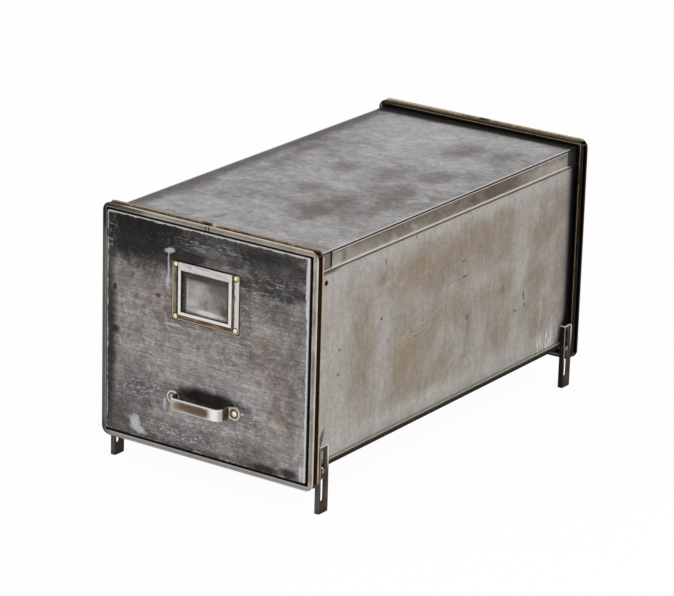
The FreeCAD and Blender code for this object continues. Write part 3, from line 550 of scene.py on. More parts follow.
def wall_clouds(nodes, wobble):
    """Paler bands along the long edges and at the front end, and tan and pale clouds between them."""
    height = nodes.ragged(nodes.z, wobble, 30.0)
    nodes.paint(nodes.band(height, 292.0, 315.0, 14.0), WALL_PALE, 0.7)
    nodes.paint(nodes.band(height, 70.0, 92.0, 14.0), WALL_PALE, 0.55)
    nodes.paint(nodes.step(nodes.y, -190.0, -235.0), (166, 161, 156), 0.75)
    nodes.marks(TAN, wobble, (
        ((-175, 190), (18, 56), 6, 0.8, 1.4, 0.55),
        ((-85, 150), (44, 30), -6, 0.8, 1.3, 0.8),
        ((-60, 112), (40, 18), 0, 0.8, 1.3, 0.5),
        ((-70, 255), (56, 30), 0, 0.8, 1.3, 0.55),
        ((0, 190), (50, 24), 0, 0.8, 1.3, 0.5),
        ((20, 258), (80, 26), 3, 0.8, 1.3, 0.6),
        ((120, 258), (60, 30), 0, 0.8, 1.3, 0.5),
        ((138, 180), (34, 24), 0, 0.8, 1.3, 0.55),
        ((232, 235), (28, 18), 0, 0.8, 1.3, 0.5),
        ((236, 170), (24, 14), 0, 0.8, 1.2, 0.6),
        ((225, 118), (18, 34), 0, 0.8, 1.3, 0.45),
        ((130, 128), (40, 22), 0, 0.8, 1.4, 0.4),
        ((0, 112), (14, 22), 0, 0.8, 1.4, 0.45),
    ))
    nodes.marks(WALL_PALE, wobble, (
        ((-130, 225), (20, 30), 0, 0.8, 1.0, 0.35),
        ((-140, 150), (20, 50), 0, 0.8, 1.0, 0.4),
        ((182, 215), (18, 80), 0, 0.8, 1.2, 0.45),
        ((86, 135), (14, 30), 0, 0.8, 1.2, 0.45),
        ((178, 108), (12, 18), 0, 0.8, 1.2, 0.5),
    ))
    nodes.mottle((15.0, 15.0, 12.0), 5.0, (124, 112, 96), (170, 165, 159), 0.22)


def wall_marks(nodes, wobble):
    """Black spots, rust, a pale streaked corner, thin scratches and grime near the front."""
    nodes.marks((40, 33, 28), wobble, (
        ((45, 244), (2.6, 1.3), 0, 0.5, 0.6, 0.9),
        ((48, 222), (5.0, 1.0), 0, 0.5, 0.6, 0.8),
        ((18, 221), (34, 0.5), 2, 0.7, 3.0, 0.4),
        ((-142, 216), (2.4, 2.0), 0, 0.5, 0.6, 0.8),
        ((-233, 200), (2.6, 1.6), 0, 0.5, 0.6, 0.85),
        ((-235, 168), (3.4, 1.8), 0, 0.5, 0.6, 0.65),
        ((196, 157), (1.6, 7.0), 12, 0.5, 1.6, 0.85),
        ((199, 144), (1.6, 2.4), 0, 0.5, 0.9, 0.85),
        ((176, 141), (4.4, 1.0), 0, 0.5, 0.9, 0.75),
    ))
    nodes.marks((90, 72, 54), wobble, (
        ((58, 164), (4, 4), 0, 0.7, 2.4, 0.75),
        ((-136, 289), (2, 5), 12, 0.7, 2.4, 0.8),
    ))
    nodes.marks((110, 92, 72), wobble, (
        ((60, 150), (3, 10), 0, 0.8, 2.4, 0.4),
        ((143, 179), (5, 5), 0, 0.8, 2.4, 0.5),
    ))
    nodes.mark((112, 94, 76), wobble, (-142, 268), (8, 9), 0, 0.8, 2.2, 0.45)
    nodes.mark((84, 70, 56), wobble, (-68, 306), (1.0, 4.0), 4, 0.5, 0.9, 0.85)
    nodes.mark(WALL_PALE, wobble, (243, 125), (1.6, 26), -6, 0.6, 1.6, 0.7)
    streaks = nodes.step(nodes.noise((2.0, 3.0, 22.0), 4.0, 0.7, 9.0), 0.48, 0.6)
    nodes.paint(nodes.both(streaks, nodes.blot((258, 76), (34, 14), 14, 0.6)), (208, 206, 204), 0.85)
    broken = nodes.step(nodes.noise((2.0, 5.0, 1.6), 4.0, 0.75, 13.0), 0.44, 0.54)
    scratches = nodes.either(*[nodes.blot(centre, half, turn, 0.6) for centre, half, turn in (
        ((-70, 175), (54, 0.9), 5),
        ((-58, 182), (44, 0.6), 9),
        ((-86, 168), (34, 0.6), 2),
        ((-30, 190), (36, 0.5), 14),
        ((-62, 186), (30, 0.5), -3),
        ((-96, 178), (26, 0.5), 12),
    )])
    nodes.paint(nodes.both(scratches, broken), (178, 168, 150), 0.75)
    grime = nodes.step(nodes.noise((20.0, 4.0, 30.0), 5.0, 0.65, 6.0), 0.5, 0.66)
    nodes.paint(nodes.both(grime, nodes.blot((-186, 190), (36, 76), 8)), (112, 95, 78), 0.42)
    nodes.mark((70, 60, 52), wobble, (-268, 92), (3.6, 15), -22, 0.4, 0.5, 0.85)


def wall_edges(nodes):
    """Painted shade, black towards the rear rim; a dark line under the cover's hem, painted shadow and
    dirt; notches with painted shade at the front one's end; and the rolled lower edge with painted light
    and shade.
    """
    # Painted shade, darkening to black towards the rear rim, starting further forward near the bottom.
    toward_rear_shade = nodes.plus(nodes.y, nodes.step(nodes.z, 110.0, 60.0, 0.0, 13.0))
    nodes.paint(nodes.step(toward_rear_shade, 293.0, 304.0), (82, 80, 80), 0.55)
    nodes.paint(nodes.step(toward_rear_shade, 299.0, 310.0), (18, 17, 18), 0.97)
    hem = COVER_LOW.z
    # Dark line under the cover's hem: painted shadow of the hem, and dirt.
    nodes.paint(nodes.band(nodes.z, hem - 3.15, hem - 0.15, 0.5), (54, 43, 32), 0.92)
    # Painted shadow under the hem, wider near the front.
    front_hem_shadow = nodes.band(nodes.z, hem - 6.25, hem - 0.65, 0.8)
    nodes.paint(nodes.both(front_hem_shadow, nodes.step(nodes.y, -226.0, -252.0)), (70, 58, 48), 0.75)
    above = nodes.step(nodes.z, hem - 0.65, hem - 0.05)
    notch = nodes.both(above, nodes.step(nodes.y, FRONT_NOTCH_END + 1.0, FRONT_NOTCH_END - 1.0))
    nodes.paint(notch, (104, 100, 97), 0.9)
    # Painted shade, black, at the back end of the front notch, under the end of the cover's skirt.
    nodes.paint(nodes.both(notch, nodes.step(nodes.y, -255.0, -253.2)), (22, 18, 15), 0.92)
    rear_notch = nodes.both(above, nodes.step(nodes.y, REAR_NOTCH_START - 5.0, REAR_NOTCH_START + 5.0))
    nodes.paint(rear_notch, (46, 45, 46), 0.92)
    low = WALL_LOW.z
    # Painted shadow line above the rolled lower edge.
    nodes.paint(nodes.band(nodes.z, low + 3.9, low + 5.0, 0.4), (66, 60, 55), 0.85)
    # Painted highlight on the top of the rolled edge.
    nodes.paint(nodes.band(nodes.z, low + 2.4, low + 3.5, 0.3), (166, 160, 154), 0.8)
    # Below it, black: dark patina and painted shade where the edge turns under.
    nodes.paint(nodes.step(nodes.z, low + 2.3, low + 1.8), (8, 6, 4), 0.98)


def wall_steel(name, marked):
    """Wall sheet: tan patina in clouds, paler towards its long edges, painted shade, black, towards the
    rear rim.
    """
    nodes = steel(name, (138, 131, 122), (158, 152, 145), 55.0, 3.0, 3.0, 0.45, 0.16)
    nodes.plane(nodes.y, nodes.z)
    wobble = nodes.noise(34.0, 7.0, 0.7, 2.0, 0.6)
    wall_clouds(nodes, wobble)
    nodes.tone(nodes.noise(6.0, 6.0, 0.75, 8.0, 0.6), 0.34, 0.66, 0.9, 1.09)
    nodes.tone(nodes.noise((7.0, 7.0, 48.0), 5.0, 0.68, 19.0), 0.36, 0.64, 0.93, 1.06)
    nodes.tone(nodes.noise((1.6, 2.2, 1.4), 3.0, 0.7, 9.0), 0.32, 0.68, 0.93, 1.07)
    if marked:
        wall_marks(nodes, wobble)
    nodes.paint(nodes.pits(26.0, 0.7, 0.35), (92, 78, 62), 0.7)
    wall_edges(nodes)
    nodes.finish(0.42, 0.55)
    return nodes


# ---------------------------------------------------------------- top cover
COVER_PALE = (196, 194, 194)
COVER_DARK = (112, 106, 102)


def cover_clouds(nodes, wobble):
    """Pale and dark clouds over the top, pale scratches near the back, a dark left side and rusty spots."""
    nodes.mottle((30.0, 18.0, 18.0), 6.0, (122, 117, 115), (192, 190, 189), 0.34, 1.4)
    nodes.marks(COVER_PALE, wobble, (
        ((-48, 225), (72, 66), 12, 0.6, 0.9, 0.75),
        ((-30, 130), (40, 60), 0, 0.7, 1.2, 0.55),
        ((-20, -10), (46, 60), 0, 0.7, 1.2, 0.45),
        ((60, 150), (44, 26), 0, 0.7, 1.2, 0.55),
        ((-30, -215), (70, 40), 0, 0.7, 1.2, 0.45),
        ((88, -225), (36, 30), 0, 0.7, 1.2, 0.4),
    ))
    nodes.marks(COVER_DARK, wobble, (
        ((48, -138), (24, 44), 12, 0.7, 2.4, 0.85),
        ((62, -96), (18, 34), 24, 0.7, 2.4, 0.7),
        ((92, -30), (24, 44), 0, 0.7, 2.4, 0.6),
        ((104, -88), (14, 36), 0, 0.7, 2.4, 0.65),
        ((-12, -70), (18, 24), 0, 0.7, 2.4, 0.6),
        ((-30, 40), (18, 24), 20, 0.7, 2.4, 0.5),
        ((38, 50), (22, 28), 0, 0.7, 2.4, 0.5),
        ((88, 74), (18, 30), 0, 0.7, 2.4, 0.5),
        ((48, 196), (18, 36), 0, 0.7, 2.4, 0.45),
        ((106, 210), (14, 24), 0, 0.7, 2.4, 0.6),
        ((-128, -150), (12, 40), 0, 0.7, 2.4, 0.5),
        ((-118, 60), (10, 60), 4, 0.8, 2.2, 0.6),
        ((-30, -232), (10, 4), 70, 0.6, 2.0, 0.6),
    ))
    nodes.marks(COVER_PALE, wobble, (
        ((60, 250), (2.4, 20), 14, 0.6, 2.4, 0.7),
        ((86, 255), (2.4, 18), 14, 0.6, 2.4, 0.7),
        ((34, 262), (2.4, 14), -14, 0.6, 2.4, 0.65),
        ((0, -250), (160, 5), 0, 0.6, 1.2, 0.4),
        ((70, 262), (90, 24), 0, 0.6, 1.2, 0.6),
        ((-60, 260), (80, 20), 0, 0.6, 1.2, 0.35),
    ))
    nodes.paint(nodes.step(nodes.ragged(nodes.x, wobble, 34.0), -122.0, -144.0), (98, 94, 93), 0.85)
    nodes.tone(nodes.noise((34.0, 24.0, 8.0), 9.0, 0.74, 8.0, 1.6, 20.0), 0.38, 0.62, 0.87, 1.13)
    nodes.tone(nodes.noise((13.0, 8.0, 8.0), 8.0, 0.78, 18.0, 1.0, 20.0), 0.38, 0.62, 0.9, 1.08)
    nodes.tone(nodes.noise((4.0, 2.4, 2.0), 4.0, 0.75, 9.0, 0.3, 20.0), 0.32, 0.68, 0.93, 1.07)
    rust = nodes.step(nodes.noise((16.0, 5.0, 8.0), 6.0, 0.75, 12.0, 1.0, 34.0), 0.55, 0.64)
    nodes.paint(nodes.both(rust, nodes.step(nodes.y, 60.0, -60.0, 0.4, 1.0)), (116, 104, 99), 0.55)
    nodes.paint(nodes.pits(18.0, 0.9, 0.55), (84, 74, 68), 0.7)


def cover_skirts(nodes, wobble):
    """Browner skirts with a painted highlight on the hem and painted shade on its lower edge, and a dark
    seam between painted highlights at the cover's fold.
    """
    top = COVER_HIGH.z
    hem = COVER_LOW.z
    skirt = nodes.step(nodes.z, top - 0.6, top - 1.2)
    cloudy = nodes.step(nodes.noise((20.0, 26.0, 14.0), 7.0, 0.68, 12.0, 0.8), 0.42, 0.6)
    nodes.paint(skirt, (122, 114, 105))
    nodes.paint(nodes.both(skirt, cloudy), (156, 149, 142), 0.85)
    nodes.paint(nodes.both(skirt, nodes.step(nodes.y, -120.0, -170.0)), (160, 155, 150), 0.45)
    nodes.paint(nodes.both(skirt, nodes.step(nodes.z, top - 10.0, top - 3.0)), (100, 92, 84), 0.72)
    for centre, half, strength in (
        ((112, 324), (60, 14), 0.95),
        ((0, 326), (80, 10), 0.55),
        ((-232, 324), (5, 9), 0.6),
        ((-150, 328), (60, 8), 0.5),
    ):
        smudge = nodes.blot(centre, half, 0, 0.7, 1.8, wobble)
        nodes.paint(nodes.both(skirt, smudge), (86, 74, 64), strength)
    pale_end = nodes.blot((242, 320), (44, 10), 0, 0.6, 1.4, wobble)
    nodes.paint(nodes.both(skirt, pale_end), (160, 153, 147), 0.5)
    nodes.tone(nodes.noise((8.0, 9.0, 5.0), 6.0, 0.74, 18.0, 0.6), 0.34, 0.66, 0.88, 1.1)
    # Painted highlight along the skirt, under the dark seam.
    nodes.paint(nodes.band(nodes.z, top - 3.6, top - 2.2, 0.3), (190, 181, 172), 0.75)
    nodes.paint(nodes.band(nodes.z, top - 2.2, top - 0.4, 0.2), (16, 12, 10), 0.97)
    # Painted highlight on the rolled hem.
    nodes.paint(nodes.both(skirt, nodes.band(nodes.z, hem + 0.9, hem + 3.5, 0.4)), (198, 190, 181), 0.85)
    # Painted shade on the hem's lower edge.
    nodes.paint(nodes.step(nodes.z, hem + 1.1, hem + 0.5), (40, 33, 27), 0.9)
    # Painted highlight on the fold between the top and the skirts.
    side = nodes.minus(COVER_HIGH.x - 0.7, nodes.away(nodes.x))
    fold_highlight = nodes.both(nodes.step(nodes.z, top - 0.5, top - 0.2), nodes.step(side, 3.8, 2.6))
    nodes.paint(fold_highlight, (212, 207, 202), 0.8)


def cover_steel():
    """Cover: mottled grey top, browner skirts, painted highlights at the folds with a dark seam, painted
    shade, black, under the rear rim.
    """
    nodes = steel("cover_steel", (150, 147, 146), (180, 178, 177), 44.0, (3.0, 4.0, 3.0), 7.0, 0.45, 0.22)
    wobble = nodes.noise(24.0, 8.0, 0.74, 4.0, 0.9)
    nodes.plane(nodes.x, nodes.y)
    cover_clouds(nodes, wobble)
    nodes.plane(nodes.y, nodes.z)
    cover_skirts(nodes, wobble)
    # Painted shade, black, on the top next to the rear rim, reaching further forward on the left.
    toward_rear_shade = nodes.plus(nodes.y, nodes.step(nodes.x, 40.0, -80.0, 0.0, 5.0))
    nodes.paint(nodes.step(toward_rear_shade, 289.0, 301.0), (22, 22, 24), 0.97)
    nodes.finish(0.38, 0.52)
    return nodes


# ---------------------------------------------------------------- rims
def outside_opening(nodes):
    """How far a point of a rim's face is outside its opening, then the same for its top and its bottom."""
    distances = [nodes.minus(RIM_FLANGE, distance) for distance in inward(nodes, RIM_LOW, RIM_HIGH)]
    return nodes.either(*distances), distances[1], distances[2]


def front_rim_steel():
    """Front rim: tan-grey worn flange, dark on its left, painted highlights at its outer edge and by its
    opening, painted shade, black, in the opening, brown groove behind.
    """
    nodes = steel("front_rim_steel", (134, 127, 119), (164, 157, 149), 26.0, 4.0, 1.0, 0.55, 0.25)
    nodes.plane(nodes.x, nodes.z)
    wobble = nodes.noise(12.0, 6.0, 0.7, 3.0, 0.5)
    out, upper, lower = outside_opening(nodes)
    depth = nodes.minus(nodes.y, RIM_LOW.y)
    nodes.paint(nodes.step(wobble, 0.54, 0.64), (104, 92, 80), 0.5)
    shine = nodes.noise((40.0, 5.0, 40.0), 4.0, 0.6, 8.0)
    nodes.paint(nodes.step(shine, 0.5, 0.62), (190, 184, 177), 0.6)
    nodes.paint(nodes.step(upper, -1.0, 0.5), (132, 122, 110), 0.45)
    nodes.paint(nodes.step(lower, -1.0, 0.5), (148, 144, 142), 0.7)
    nodes.paint(nodes.band(out, 3.4, 4.6, 0.5), (112, 103, 94), 0.55)
    nodes.paint(nodes.step(nodes.x, RIM_LOW.x + 7.6, RIM_LOW.x + 5.4), (82, 75, 69), 0.88)
    nodes.mark((26, 24, 22), wobble, (-160, 330), (22, 22), 0, 0.6, 0.8, 0.96)
    nodes.mark((50, 44, 38), wobble, (-128, 342), (26, 7), 0, 0.6, 1.2, 0.75)
    nodes.mark((40, 30, 22), wobble, (-162, 44), (10, 10), 0, 0.6, 0.8, 0.6)
    for x in (-4.5, 0.5):
        nodes.paint(nodes.blot((x, JOINT_Z), (1.0, 3.0), 0, 0.4), (30, 26, 22), 0.9)
    # Painted highlight along the rounded outer edge.
    nodes.paint(nodes.step(out, 5.8, 6.8), (208, 202, 195), 0.75)
    # The left part of the outer edge is painted dark instead.
    dark_edge = nodes.both(nodes.step(out, 5.4, 6.4), nodes.step(nodes.x, -120.0, -140.0))
    nodes.paint(dark_edge, (60, 54, 48), 0.8)
    # Painted shade, black, at the opening's edge, in the gap to the drawer front.
    nodes.paint(nodes.step(out, 1.0, 0.3), (14, 12, 10), 0.92)
    # Painted highlight: a thin bright line next to it.
    nodes.paint(nodes.band(out, 1.3, 1.9, 0.3), (190, 184, 178), 0.5)
    nodes.paint(nodes.step(depth, 1.1, 1.5), (74, 51, 35), 0.96)
    # Painted shade, black, on the inner faces round the opening.
    shaded_inside = nodes.both(nodes.step(out, 0.5, 0.1), nodes.step(depth, 0.7, 1.6))
    nodes.paint(shaded_inside, (10, 9, 8), 0.97)
    nodes.finish(0.34, 0.5)
    return nodes


def rear_rim_steel():
    """Rear rim: nearly black, with a broken tan painted highlight and a brown line along its flange, and a
    painted highlight on its top edge.
    """
    nodes = steel("rear_rim_steel", (16, 13, 9), (32, 26, 18), 20.0, 4.0, 1.0, 0.25, 0.25)
    out, upper, _ = outside_opening(nodes)
    along = nodes.noise((30.0, 5.0, 30.0), 4.0, 0.6, 8.0)
    # Painted highlight: a broken tan line along the flange.
    tan_highlight = nodes.both(nodes.band(out, 2.9, 3.7, 0.4), nodes.step(along, 0.3, 0.48))
    nodes.paint(tan_highlight, (182, 164, 132), 0.9)
    brown_line = nodes.both(nodes.band(out, 4.6, 5.8, 0.5), nodes.step(along, 0.6, 0.42))
    nodes.paint(brown_line, (84, 70, 48), 0.7)
    # Painted highlight along the top outer edge.
    nodes.paint(nodes.step(upper, 5.6, 6.6), (120, 106, 84), 0.6)
    nodes.finish(0.34, 0.5)
    return nodes


def plate_steel(name, roll, bar, back):
    """Rim's plate: a light rolled edge, a mottled roll on top with a painted highlight along its top, and a
    dark face in the groove.
    """
    nodes = steel(name, toned(roll, 0.85), roll, 22.0, 5.0, 5.0, 0.55, 0.25)
    nodes.plane(nodes.x, nodes.z)
    wobble = nodes.noise(11.0, 6.0, 0.7, 3.0, 0.5)
    side, top, bottom = inward(nodes, RIM_LOW, RIM_HIGH)
    edge = nodes.least(side, top, bottom)
    nodes.paint(nodes.step(edge, 0.5, 1.0), back, 0.97)
    clouds = nodes.step(nodes.noise((70.0, 70.0, 55.0), 4.0, 0.55, 5.0), 0.36, 0.7)
    nodes.paint(nodes.both(nodes.step(edge, 4.0, 30.0), clouds), (74, 66, 58), 0.6)
    on_bar = nodes.both(nodes.step(top, 5.6, 4.2), nodes.step(side, 6.0, 7.0))
    nodes.paint(on_bar, bar, 0.95)
    nodes.paint(nodes.both(on_bar, nodes.step(wobble, 0.5, 0.6)), toned(bar, 0.45), 0.85)
    nodes.paint(nodes.both(on_bar, nodes.step(wobble, 0.44, 0.36)), toned(bar, 1.5), 0.75)
    # Painted highlight along the top of the roll.
    nodes.paint(nodes.both(on_bar, nodes.step(top, 0.9, 0.2)), toned(bar, 1.7), 0.8)
    return nodes, edge


def front_plate_steel():
    """Front rim's plate, with a dark and a bright spot on its roll at the rim's joint."""
    nodes = plate_steel("front_plate_steel", (186, 172, 154), (112, 96, 80), (92, 66, 42))[0]
    nodes.paint(nodes.blot((-9, 347), (8, 7), 0, 0.5), (30, 25, 20), 0.85)
    nodes.paint(nodes.blot((2, 347), (3, 7), 0, 0.5), (214, 208, 200), 0.85)
    nodes.finish(0.32, 0.48)
    return nodes


def rear_plate_steel():
    """Rear rim's plate, darker, with painted highlights on its right corner and on the left part of its
    roll.
    """
    nodes, edge = plate_steel("rear_plate_steel", (70, 58, 40), (140, 124, 104), (22, 18, 14))
    # Painted highlight on the right corner.
    corner_highlight = nodes.both(nodes.blot((152, 337), (10, 10), 0, 0.5), nodes.step(edge, 1.2, 0.6))
    nodes.paint(corner_highlight, (150, 138, 122), 0.75)
    nodes.paint(nodes.blot((2, 343), (8, 6), 0, 0.5), (36, 28, 20), 0.85)
    # Painted highlight on the left part of the roll's top.
    light = nodes.both(nodes.step(nodes.z, 342.0, 344.0), nodes.step(nodes.x, -20.0, -90.0))
    nodes.paint(light, (206, 190, 170), 0.7)
    nodes.finish(0.32, 0.48)
    return nodes


# ---------------------------------------------------------------- legs
def leg_steel(name, front, dark, light, flange, rear_highlight):
    """Leg that starts at this y: brown-black web, its own flange, painted highlights on the bend, the top
    and the rear edge.
    """
    nodes = steel(name, dark, light, 16.0, (3.0, 3.0, 10.0), 6.0, 0.15, 0.35)
    top = LEG_HIGH.z
    length = LEG_HIGH.y - LEG_LOW.y
    depth = nodes.minus(nodes.y, front)
    nodes.paint(nodes.step(depth, 1.6, 0.8), flange, 0.9)
    # Painted highlight on the bend between flange and web.
    bend_highlight = nodes.both(nodes.band(depth, 0.9, 2.0, 0.5), nodes.step(nodes.z, 36.0, 44.0))
    nodes.paint(bend_highlight, (156, 146, 128), 0.75)
    streaks = nodes.step(nodes.noise((2.0, 2.0, 26.0), 3.0, 0.6, 3.0), 0.5, 0.64)
    nodes.paint(nodes.both(streaks, nodes.step(depth, 2.0, 5.0)), toned(light, 1.7), 0.5)
    # Painted highlight on the web's rear edge, fading towards the foot.
    rear = nodes.both(nodes.step(depth, length - 4.2, length - 2.2), nodes.step(nodes.z, 50.0, 78.0))
    nodes.paint(rear, rear_highlight, 0.85)
    # Painted highlight along the top edge.
    nodes.paint(nodes.step(nodes.z, top - 1.6, top - 0.9), (206, 200, 190), 0.8)
    nodes.paint(nodes.step(nodes.z, 8.0, 0.0), (20, 17, 14), 0.6)
    nodes.finish(0.5, 0.66)
    return nodes


# ---------------------------------------------------------------- label holder and pull
def holder_steel():
    """Label frame: bright lip, bronze flange, bright top and right bands, brown rings at the rivets."""
    nodes = steel("holder_steel", (94, 76, 57), (132, 112, 90), 14.0, 3.0, 3.0, 0.5, 0.3)
    nodes.plane(nodes.x, nodes.z)
    wobble = nodes.noise(8.0, 6.0, 0.72, 3.0, 0.5)
    long_streak = nodes.noise((3.0, 3.0, 24.0), 4.0, 0.65, 9.0)
    wide_streak = nodes.noise((24.0, 3.0, 2.0), 4.0, 0.65, 9.0)
    raised = nodes.step(nodes.minus(nodes.y, HOLDER_LOW.y), 1.5, 0.8)
    flat = nodes.minus(1.0, raised)
    lower = nodes.both(flat, nodes.step(nodes.z, 224.0, 221.0))
    upper = nodes.both(nodes.step(nodes.z, 280.0, 281.4), nodes.band(nodes.x, -WINDOW_HALF, WINDOW_HALF))
    nodes.paint(nodes.both(flat, nodes.step(nodes.x, -45.6, -46.6)), (158, 142, 126), 0.7)
    nodes.paint(nodes.both(flat, nodes.step(long_streak, 0.5, 0.6)), (60, 43, 29), 0.6)
    nodes.paint(nodes.both(flat, nodes.band(nodes.x, -45.0, -41.6, 0.8)), (52, 36, 24), 0.8)
    nodes.paint(lower, (96, 74, 56), 0.9)
    nodes.paint(nodes.both(lower, nodes.step(wide_streak, 0.48, 0.36)), (56, 39, 26), 0.85)
    nodes.paint(nodes.both(lower, nodes.step(wide_streak, 0.52, 0.62)), (150, 128, 108), 0.75)
    nodes.paint(nodes.both(flat, nodes.step(nodes.x, 43.4, 45.0)), (216, 212, 209), 0.88)
    brown_line = nodes.band(nodes.ragged(nodes.x, wobble, 9.0), 42.8, 44.6, 0.5)
    nodes.paint(nodes.both(flat, brown_line), (64, 46, 36), 0.85)
    nodes.paint(raised, (228, 226, 226), 0.94)
    nodes.paint(nodes.both(raised, nodes.step(wobble, 0.54, 0.64)), (186, 181, 178), 0.6)
    nodes.paint(upper, (202, 199, 198), 0.92)
    nodes.paint(nodes.both(upper, nodes.step(wide_streak, 0.5, 0.6)), (150, 142, 136), 0.75)
    for x in (HOLDER_LOW.x + HOLDER_RIVET_IN_X, HOLDER_HIGH.x - HOLDER_RIVET_IN_X):
        for z in (HOLDER_LOW.z + HOLDER_RIVET_IN_Z, HOLDER_HIGH.z - HOLDER_RIVET_IN_Z):
            nodes.paint(nodes.disc((x, z), HOLDER_RING, 0.12), (58, 38, 18), 0.9)
    side, _, bottom = inward(nodes, HOLDER_LOW, HOLDER_HIGH)
    nodes.paint(nodes.step(nodes.least(side, bottom), 1.2, 0.5), (206, 197, 186), 0.75)
    nodes.finish(0.3, 0.44, 0.06)
    return nodes


def pull_steel():
    """Pull: polished strip, bronze in its middle, painted highlights at its bends and edges, nearly white
    at its right bend, painted shade behind.
    """
    nodes = steel("pull_steel", (138, 126, 110), (168, 158, 146), 26.0, (16.0, 16.0, 2.0), 8.0, 0.5, 0.12)
    nodes.plane(nodes.x, nodes.z)
    wobble = nodes.noise(12.0, 5.0, 0.7, 3.0, 0.4)
    depth = nodes.minus(nodes.y, PULL_LOW.y)
    height = nodes.minus(nodes.z, PULL_MIDDLE)
    nodes.paint(nodes.blot((2, PULL_MIDDLE), (31, 5.5), 0, 0.45, 0.9, wobble), (84, 68, 52), 0.88)
    nodes.tone(nodes.noise((15.0, 4.0, 2.2), 4.0, 0.7, 6.0), 0.38, 0.62, 0.84, 1.2)
    bow = nodes.step(depth, 9.0, 5.0)
    # Painted highlights: tan at the left bend, nearly white at the right bend, darker just past it.
    nodes.paint(nodes.both(bow, nodes.step(nodes.x, -26.0, -36.0)), (196, 186, 176), 0.7)
    nodes.paint(nodes.both(bow, nodes.step(nodes.x, 20.0, 30.0)), (238, 236, 232), 0.96)
    nodes.paint(nodes.both(bow, nodes.step(nodes.x, 34.0, 39.0)), (150, 140, 128), 0.65)
    # Painted highlights along the top and bottom edges.
    nodes.paint(nodes.step(height, 5.8, 6.8), (240, 237, 232), 0.85)
    nodes.paint(nodes.step(height, -5.4, -6.6), (206, 200, 192), 0.55)
    # Painted shade on the bow's legs, behind its face.
    shaded_behind = nodes.both(nodes.step(depth, 6.0, 10.0),
                        nodes.step(depth, PULL_EAR_DEPTH - 1.0, PULL_EAR_DEPTH - 2.0))
    nodes.paint(shaded_behind, (44, 35, 26), 0.88)
    ears = nodes.step(depth, PULL_EAR_DEPTH - 1.0, PULL_EAR_DEPTH - 0.4)
    nodes.paint(ears, (120, 104, 86), 0.85)
    for x in (-PULL_RIVET_X, PULL_RIVET_X):
        rivet = (x, PULL_MIDDLE)
        outside = nodes.minus(1.0, nodes.disc(rivet, PULL_EAR_FLAT, 0.1))
        near = nodes.disc(rivet, PULL_EAR_OUT, 0.05)
        nodes.paint(nodes.both(ears, outside, near), (222, 215, 206), 0.85)
        nodes.paint(nodes.both(ears, nodes.disc(rivet, PULL_RING, 0.12)), (64, 44, 24), 0.9)
    nodes.finish(0.24, 0.38, 0.05)
    return nodes


# ---------------------------------------------------------------- which node wears what
def sides(*names):
    """The left and the right piece of each name."""
    return [f"{name}_{side}" for name in names for side in ("left", "right")]


def wear(nodes, *names):
    """Give CAD nodes a material without touching their meshes."""
    for name in names:
        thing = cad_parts[name]
        if not thing.material_slots:
            thing.data.materials.append(nodes.material)
        for slot in thing.material_slots:
            slot.material = nodes.material


def dress():
    """One material for each kind of sheet, and one each for the brass, bright, inner and pan pieces."""
    wear(front_rim_steel(), "front_rim")
    wear(rear_rim_steel(), "rear_rim")
    wear(front_plate_steel(), "front_rim_plate")
    wear(rear_plate_steel(), "rear_rim_plate")
    wear(cover_steel(), "top_cover")
    wear(wall_steel("wall_steel", True), "case_wall_right")
    wear(wall_steel("left_wall_steel", False), "case_wall_left")
    front_leg = leg_steel(
        "front_leg_steel", LEG_LOW.y, (36, 28, 20), (58, 46, 35), (84, 80, 78), (212, 208, 200))
    rear_leg = leg_steel(
        "rear_leg_steel", REAR_LEG_LOW.y, (30, 22, 12), (52, 40, 25), (16, 13, 9), (190, 184, 178))
    wear(front_leg, *sides("leg_front"))
    wear(rear_leg, *sides("leg_rear"))
    pan = small_steel("pan_steel", (26, 20, 15), (36, 30, 24), 30.0, (50, 42, 34), 9.0, 0.0, (0.6, 0.8))
    wear(pan, "floor_pan")
    wear(front_steel(), "drawer_front")
    wear(holder_steel(), "label_holder")
    wear(pull_steel(), "drawer_pull")
    brass = small_steel(
        "brass", (236, 220, 170), (250, 238, 200), 5.0, (255, 250, 226), 1.0, 0.3, (0.22, 0.34))
    wear(brass, "label_holder_rivets", "drawer_pull_rivets")
    bright = small_steel("bright_steel", (96, 86, 74), (150, 142, 132), 8.0, (190, 184, 174), 5.0, 0.75)
    wear(bright, "leg_studs", "brake_pin", "brake_spring", *sides(
        "leg_spacers", "front_roller_pin", "rear_roller_pin", "front_roller", "rear_roller"))
    inner = small_steel("inner_steel", (104, 99, 94), (124, 119, 114), 60.0, (168, 162, 156), 2.0)
    wear(inner, "drawer_front_liner", "drawer_floor", "drawer_back", "follower_track", "follower_foot",
         "follower_plate", "brake_lever", *sides("drawer_side", "rear_roller_bracket", "runner"))


# ---------------------------------------------------------------- floor, world and lamps, in metres
FLOOR_HALF = 12.0
FLOOR_DROP = 0.0004         # under the feet, so that no faces share a plane
FLOOR_GREY = 0.9
FLOOR_GLOW = 0.965          # share of the floor's own white in what the camera sees
WORLD_LIGHT = 0.5
LAMP_TARGET = Vector((0.0, 0.0, 0.2))


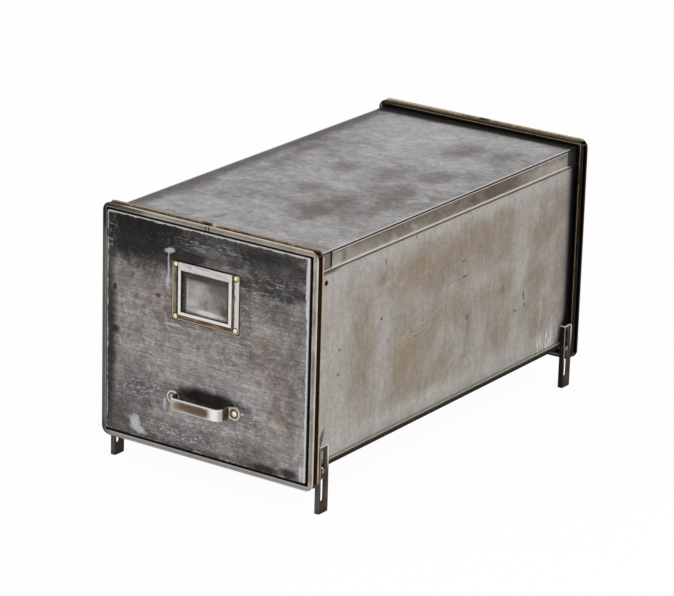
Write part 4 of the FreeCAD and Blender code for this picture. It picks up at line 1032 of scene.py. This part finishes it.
def mix_for_rays(tree, output, rays, lit, seen, share=1.0):
    """The surface is `lit`, but these two kinds of ray see this share of `seen`."""
    path = tree.nodes.new("ShaderNodeLightPath")
    either = tree.nodes.new("ShaderNodeMath")
    either.operation = "MAXIMUM"
    tree.links.new(path.outputs[rays[0]], either.inputs[0])
    tree.links.new(path.outputs[rays[1]], either.inputs[1])
    part = tree.nodes.new("ShaderNodeMath")
    part.operation = "MULTIPLY"
    part.inputs[1].default_value = share
    tree.links.new(either.outputs[0], part.inputs[0])
    mix = tree.nodes.new("ShaderNodeMixShader")
    tree.links.new(part.outputs[0], mix.inputs[0])
    tree.links.new(lit.outputs[0], mix.inputs[1])
    tree.links.new(seen.outputs[0], mix.inputs[2])
    tree.links.new(mix.outputs[0], output.inputs["Surface"])


def stage_floor():
    """White floor that still takes the object's shadow."""
    mesh = bpy.data.meshes.new("floor")
    half = FLOOR_HALF
    corners = [(-half, -half, 0), (half, -half, 0), (half, half, 0), (-half, half, 0)]
    mesh.from_pydata(corners, [], [(0, 1, 2, 3)])
    floor = bpy.data.objects.new("floor", mesh)
    floor.location.z = -FLOOR_DROP
    bpy.context.scene.collection.objects.link(floor)
    material = bpy.data.materials.new("floor")
    material.use_nodes = True
    tree = material.node_tree
    tree.nodes.clear()
    output = tree.nodes.new("ShaderNodeOutputMaterial")
    diffuse = tree.nodes.new("ShaderNodeBsdfDiffuse")
    diffuse.inputs["Color"].default_value = (FLOOR_GREY, FLOOR_GREY, FLOOR_GREY, 1)
    glow = tree.nodes.new("ShaderNodeEmission")
    mix_for_rays(tree, output, ("Is Camera Ray", "Is Glossy Ray"), diffuse, glow, FLOOR_GLOW)
    mesh.materials.append(material)


def light_world():
    """White to the camera, half as bright as a light."""
    world = bpy.data.worlds.new("studio")
    bpy.context.scene.world = world
    world.use_nodes = True
    tree = world.node_tree
    tree.nodes.clear()
    output = tree.nodes.new("ShaderNodeOutputWorld")
    light = tree.nodes.new("ShaderNodeBackground")
    light.inputs["Color"].default_value = (1, 1, 1, 1)
    light.inputs["Strength"].default_value = WORLD_LIGHT
    white = tree.nodes.new("ShaderNodeBackground")
    white.inputs["Color"].default_value = (1, 1, 1, 1)
    mix_for_rays(tree, output, ("Is Camera Ray", "Is Transmission Ray"), light, white)


def lamp(name, place, size, power):
    """Rectangular lamp that points at the object's middle."""
    data = bpy.data.lights.new(name, "AREA")
    data.shape = "RECTANGLE"
    data.size, data.size_y = size
    data.energy = power
    thing = bpy.data.objects.new(name, data)
    bpy.context.scene.collection.objects.link(thing)
    thing.location = place
    aim = LAMP_TARGET - Vector(place)
    thing.rotation_euler = aim.to_track_quat("-Z", "Y").to_euler()


def light_lamps():
    lamp("key", (1.8, -0.6, 2.6), (1.6, 1.6), 46.0)
    lamp("side", (3.0, 0.4, 1.2), (1.2, 1.8), 18.0)
    lamp("front", (-1.2, -3.0, 1.4), (1.4, 1.4), 24.0)


place_camera()
stage_floor()
light_world()
light_lamps()
dress()

scene = bpy.context.scene
scene.view_settings.view_transform = "Standard"
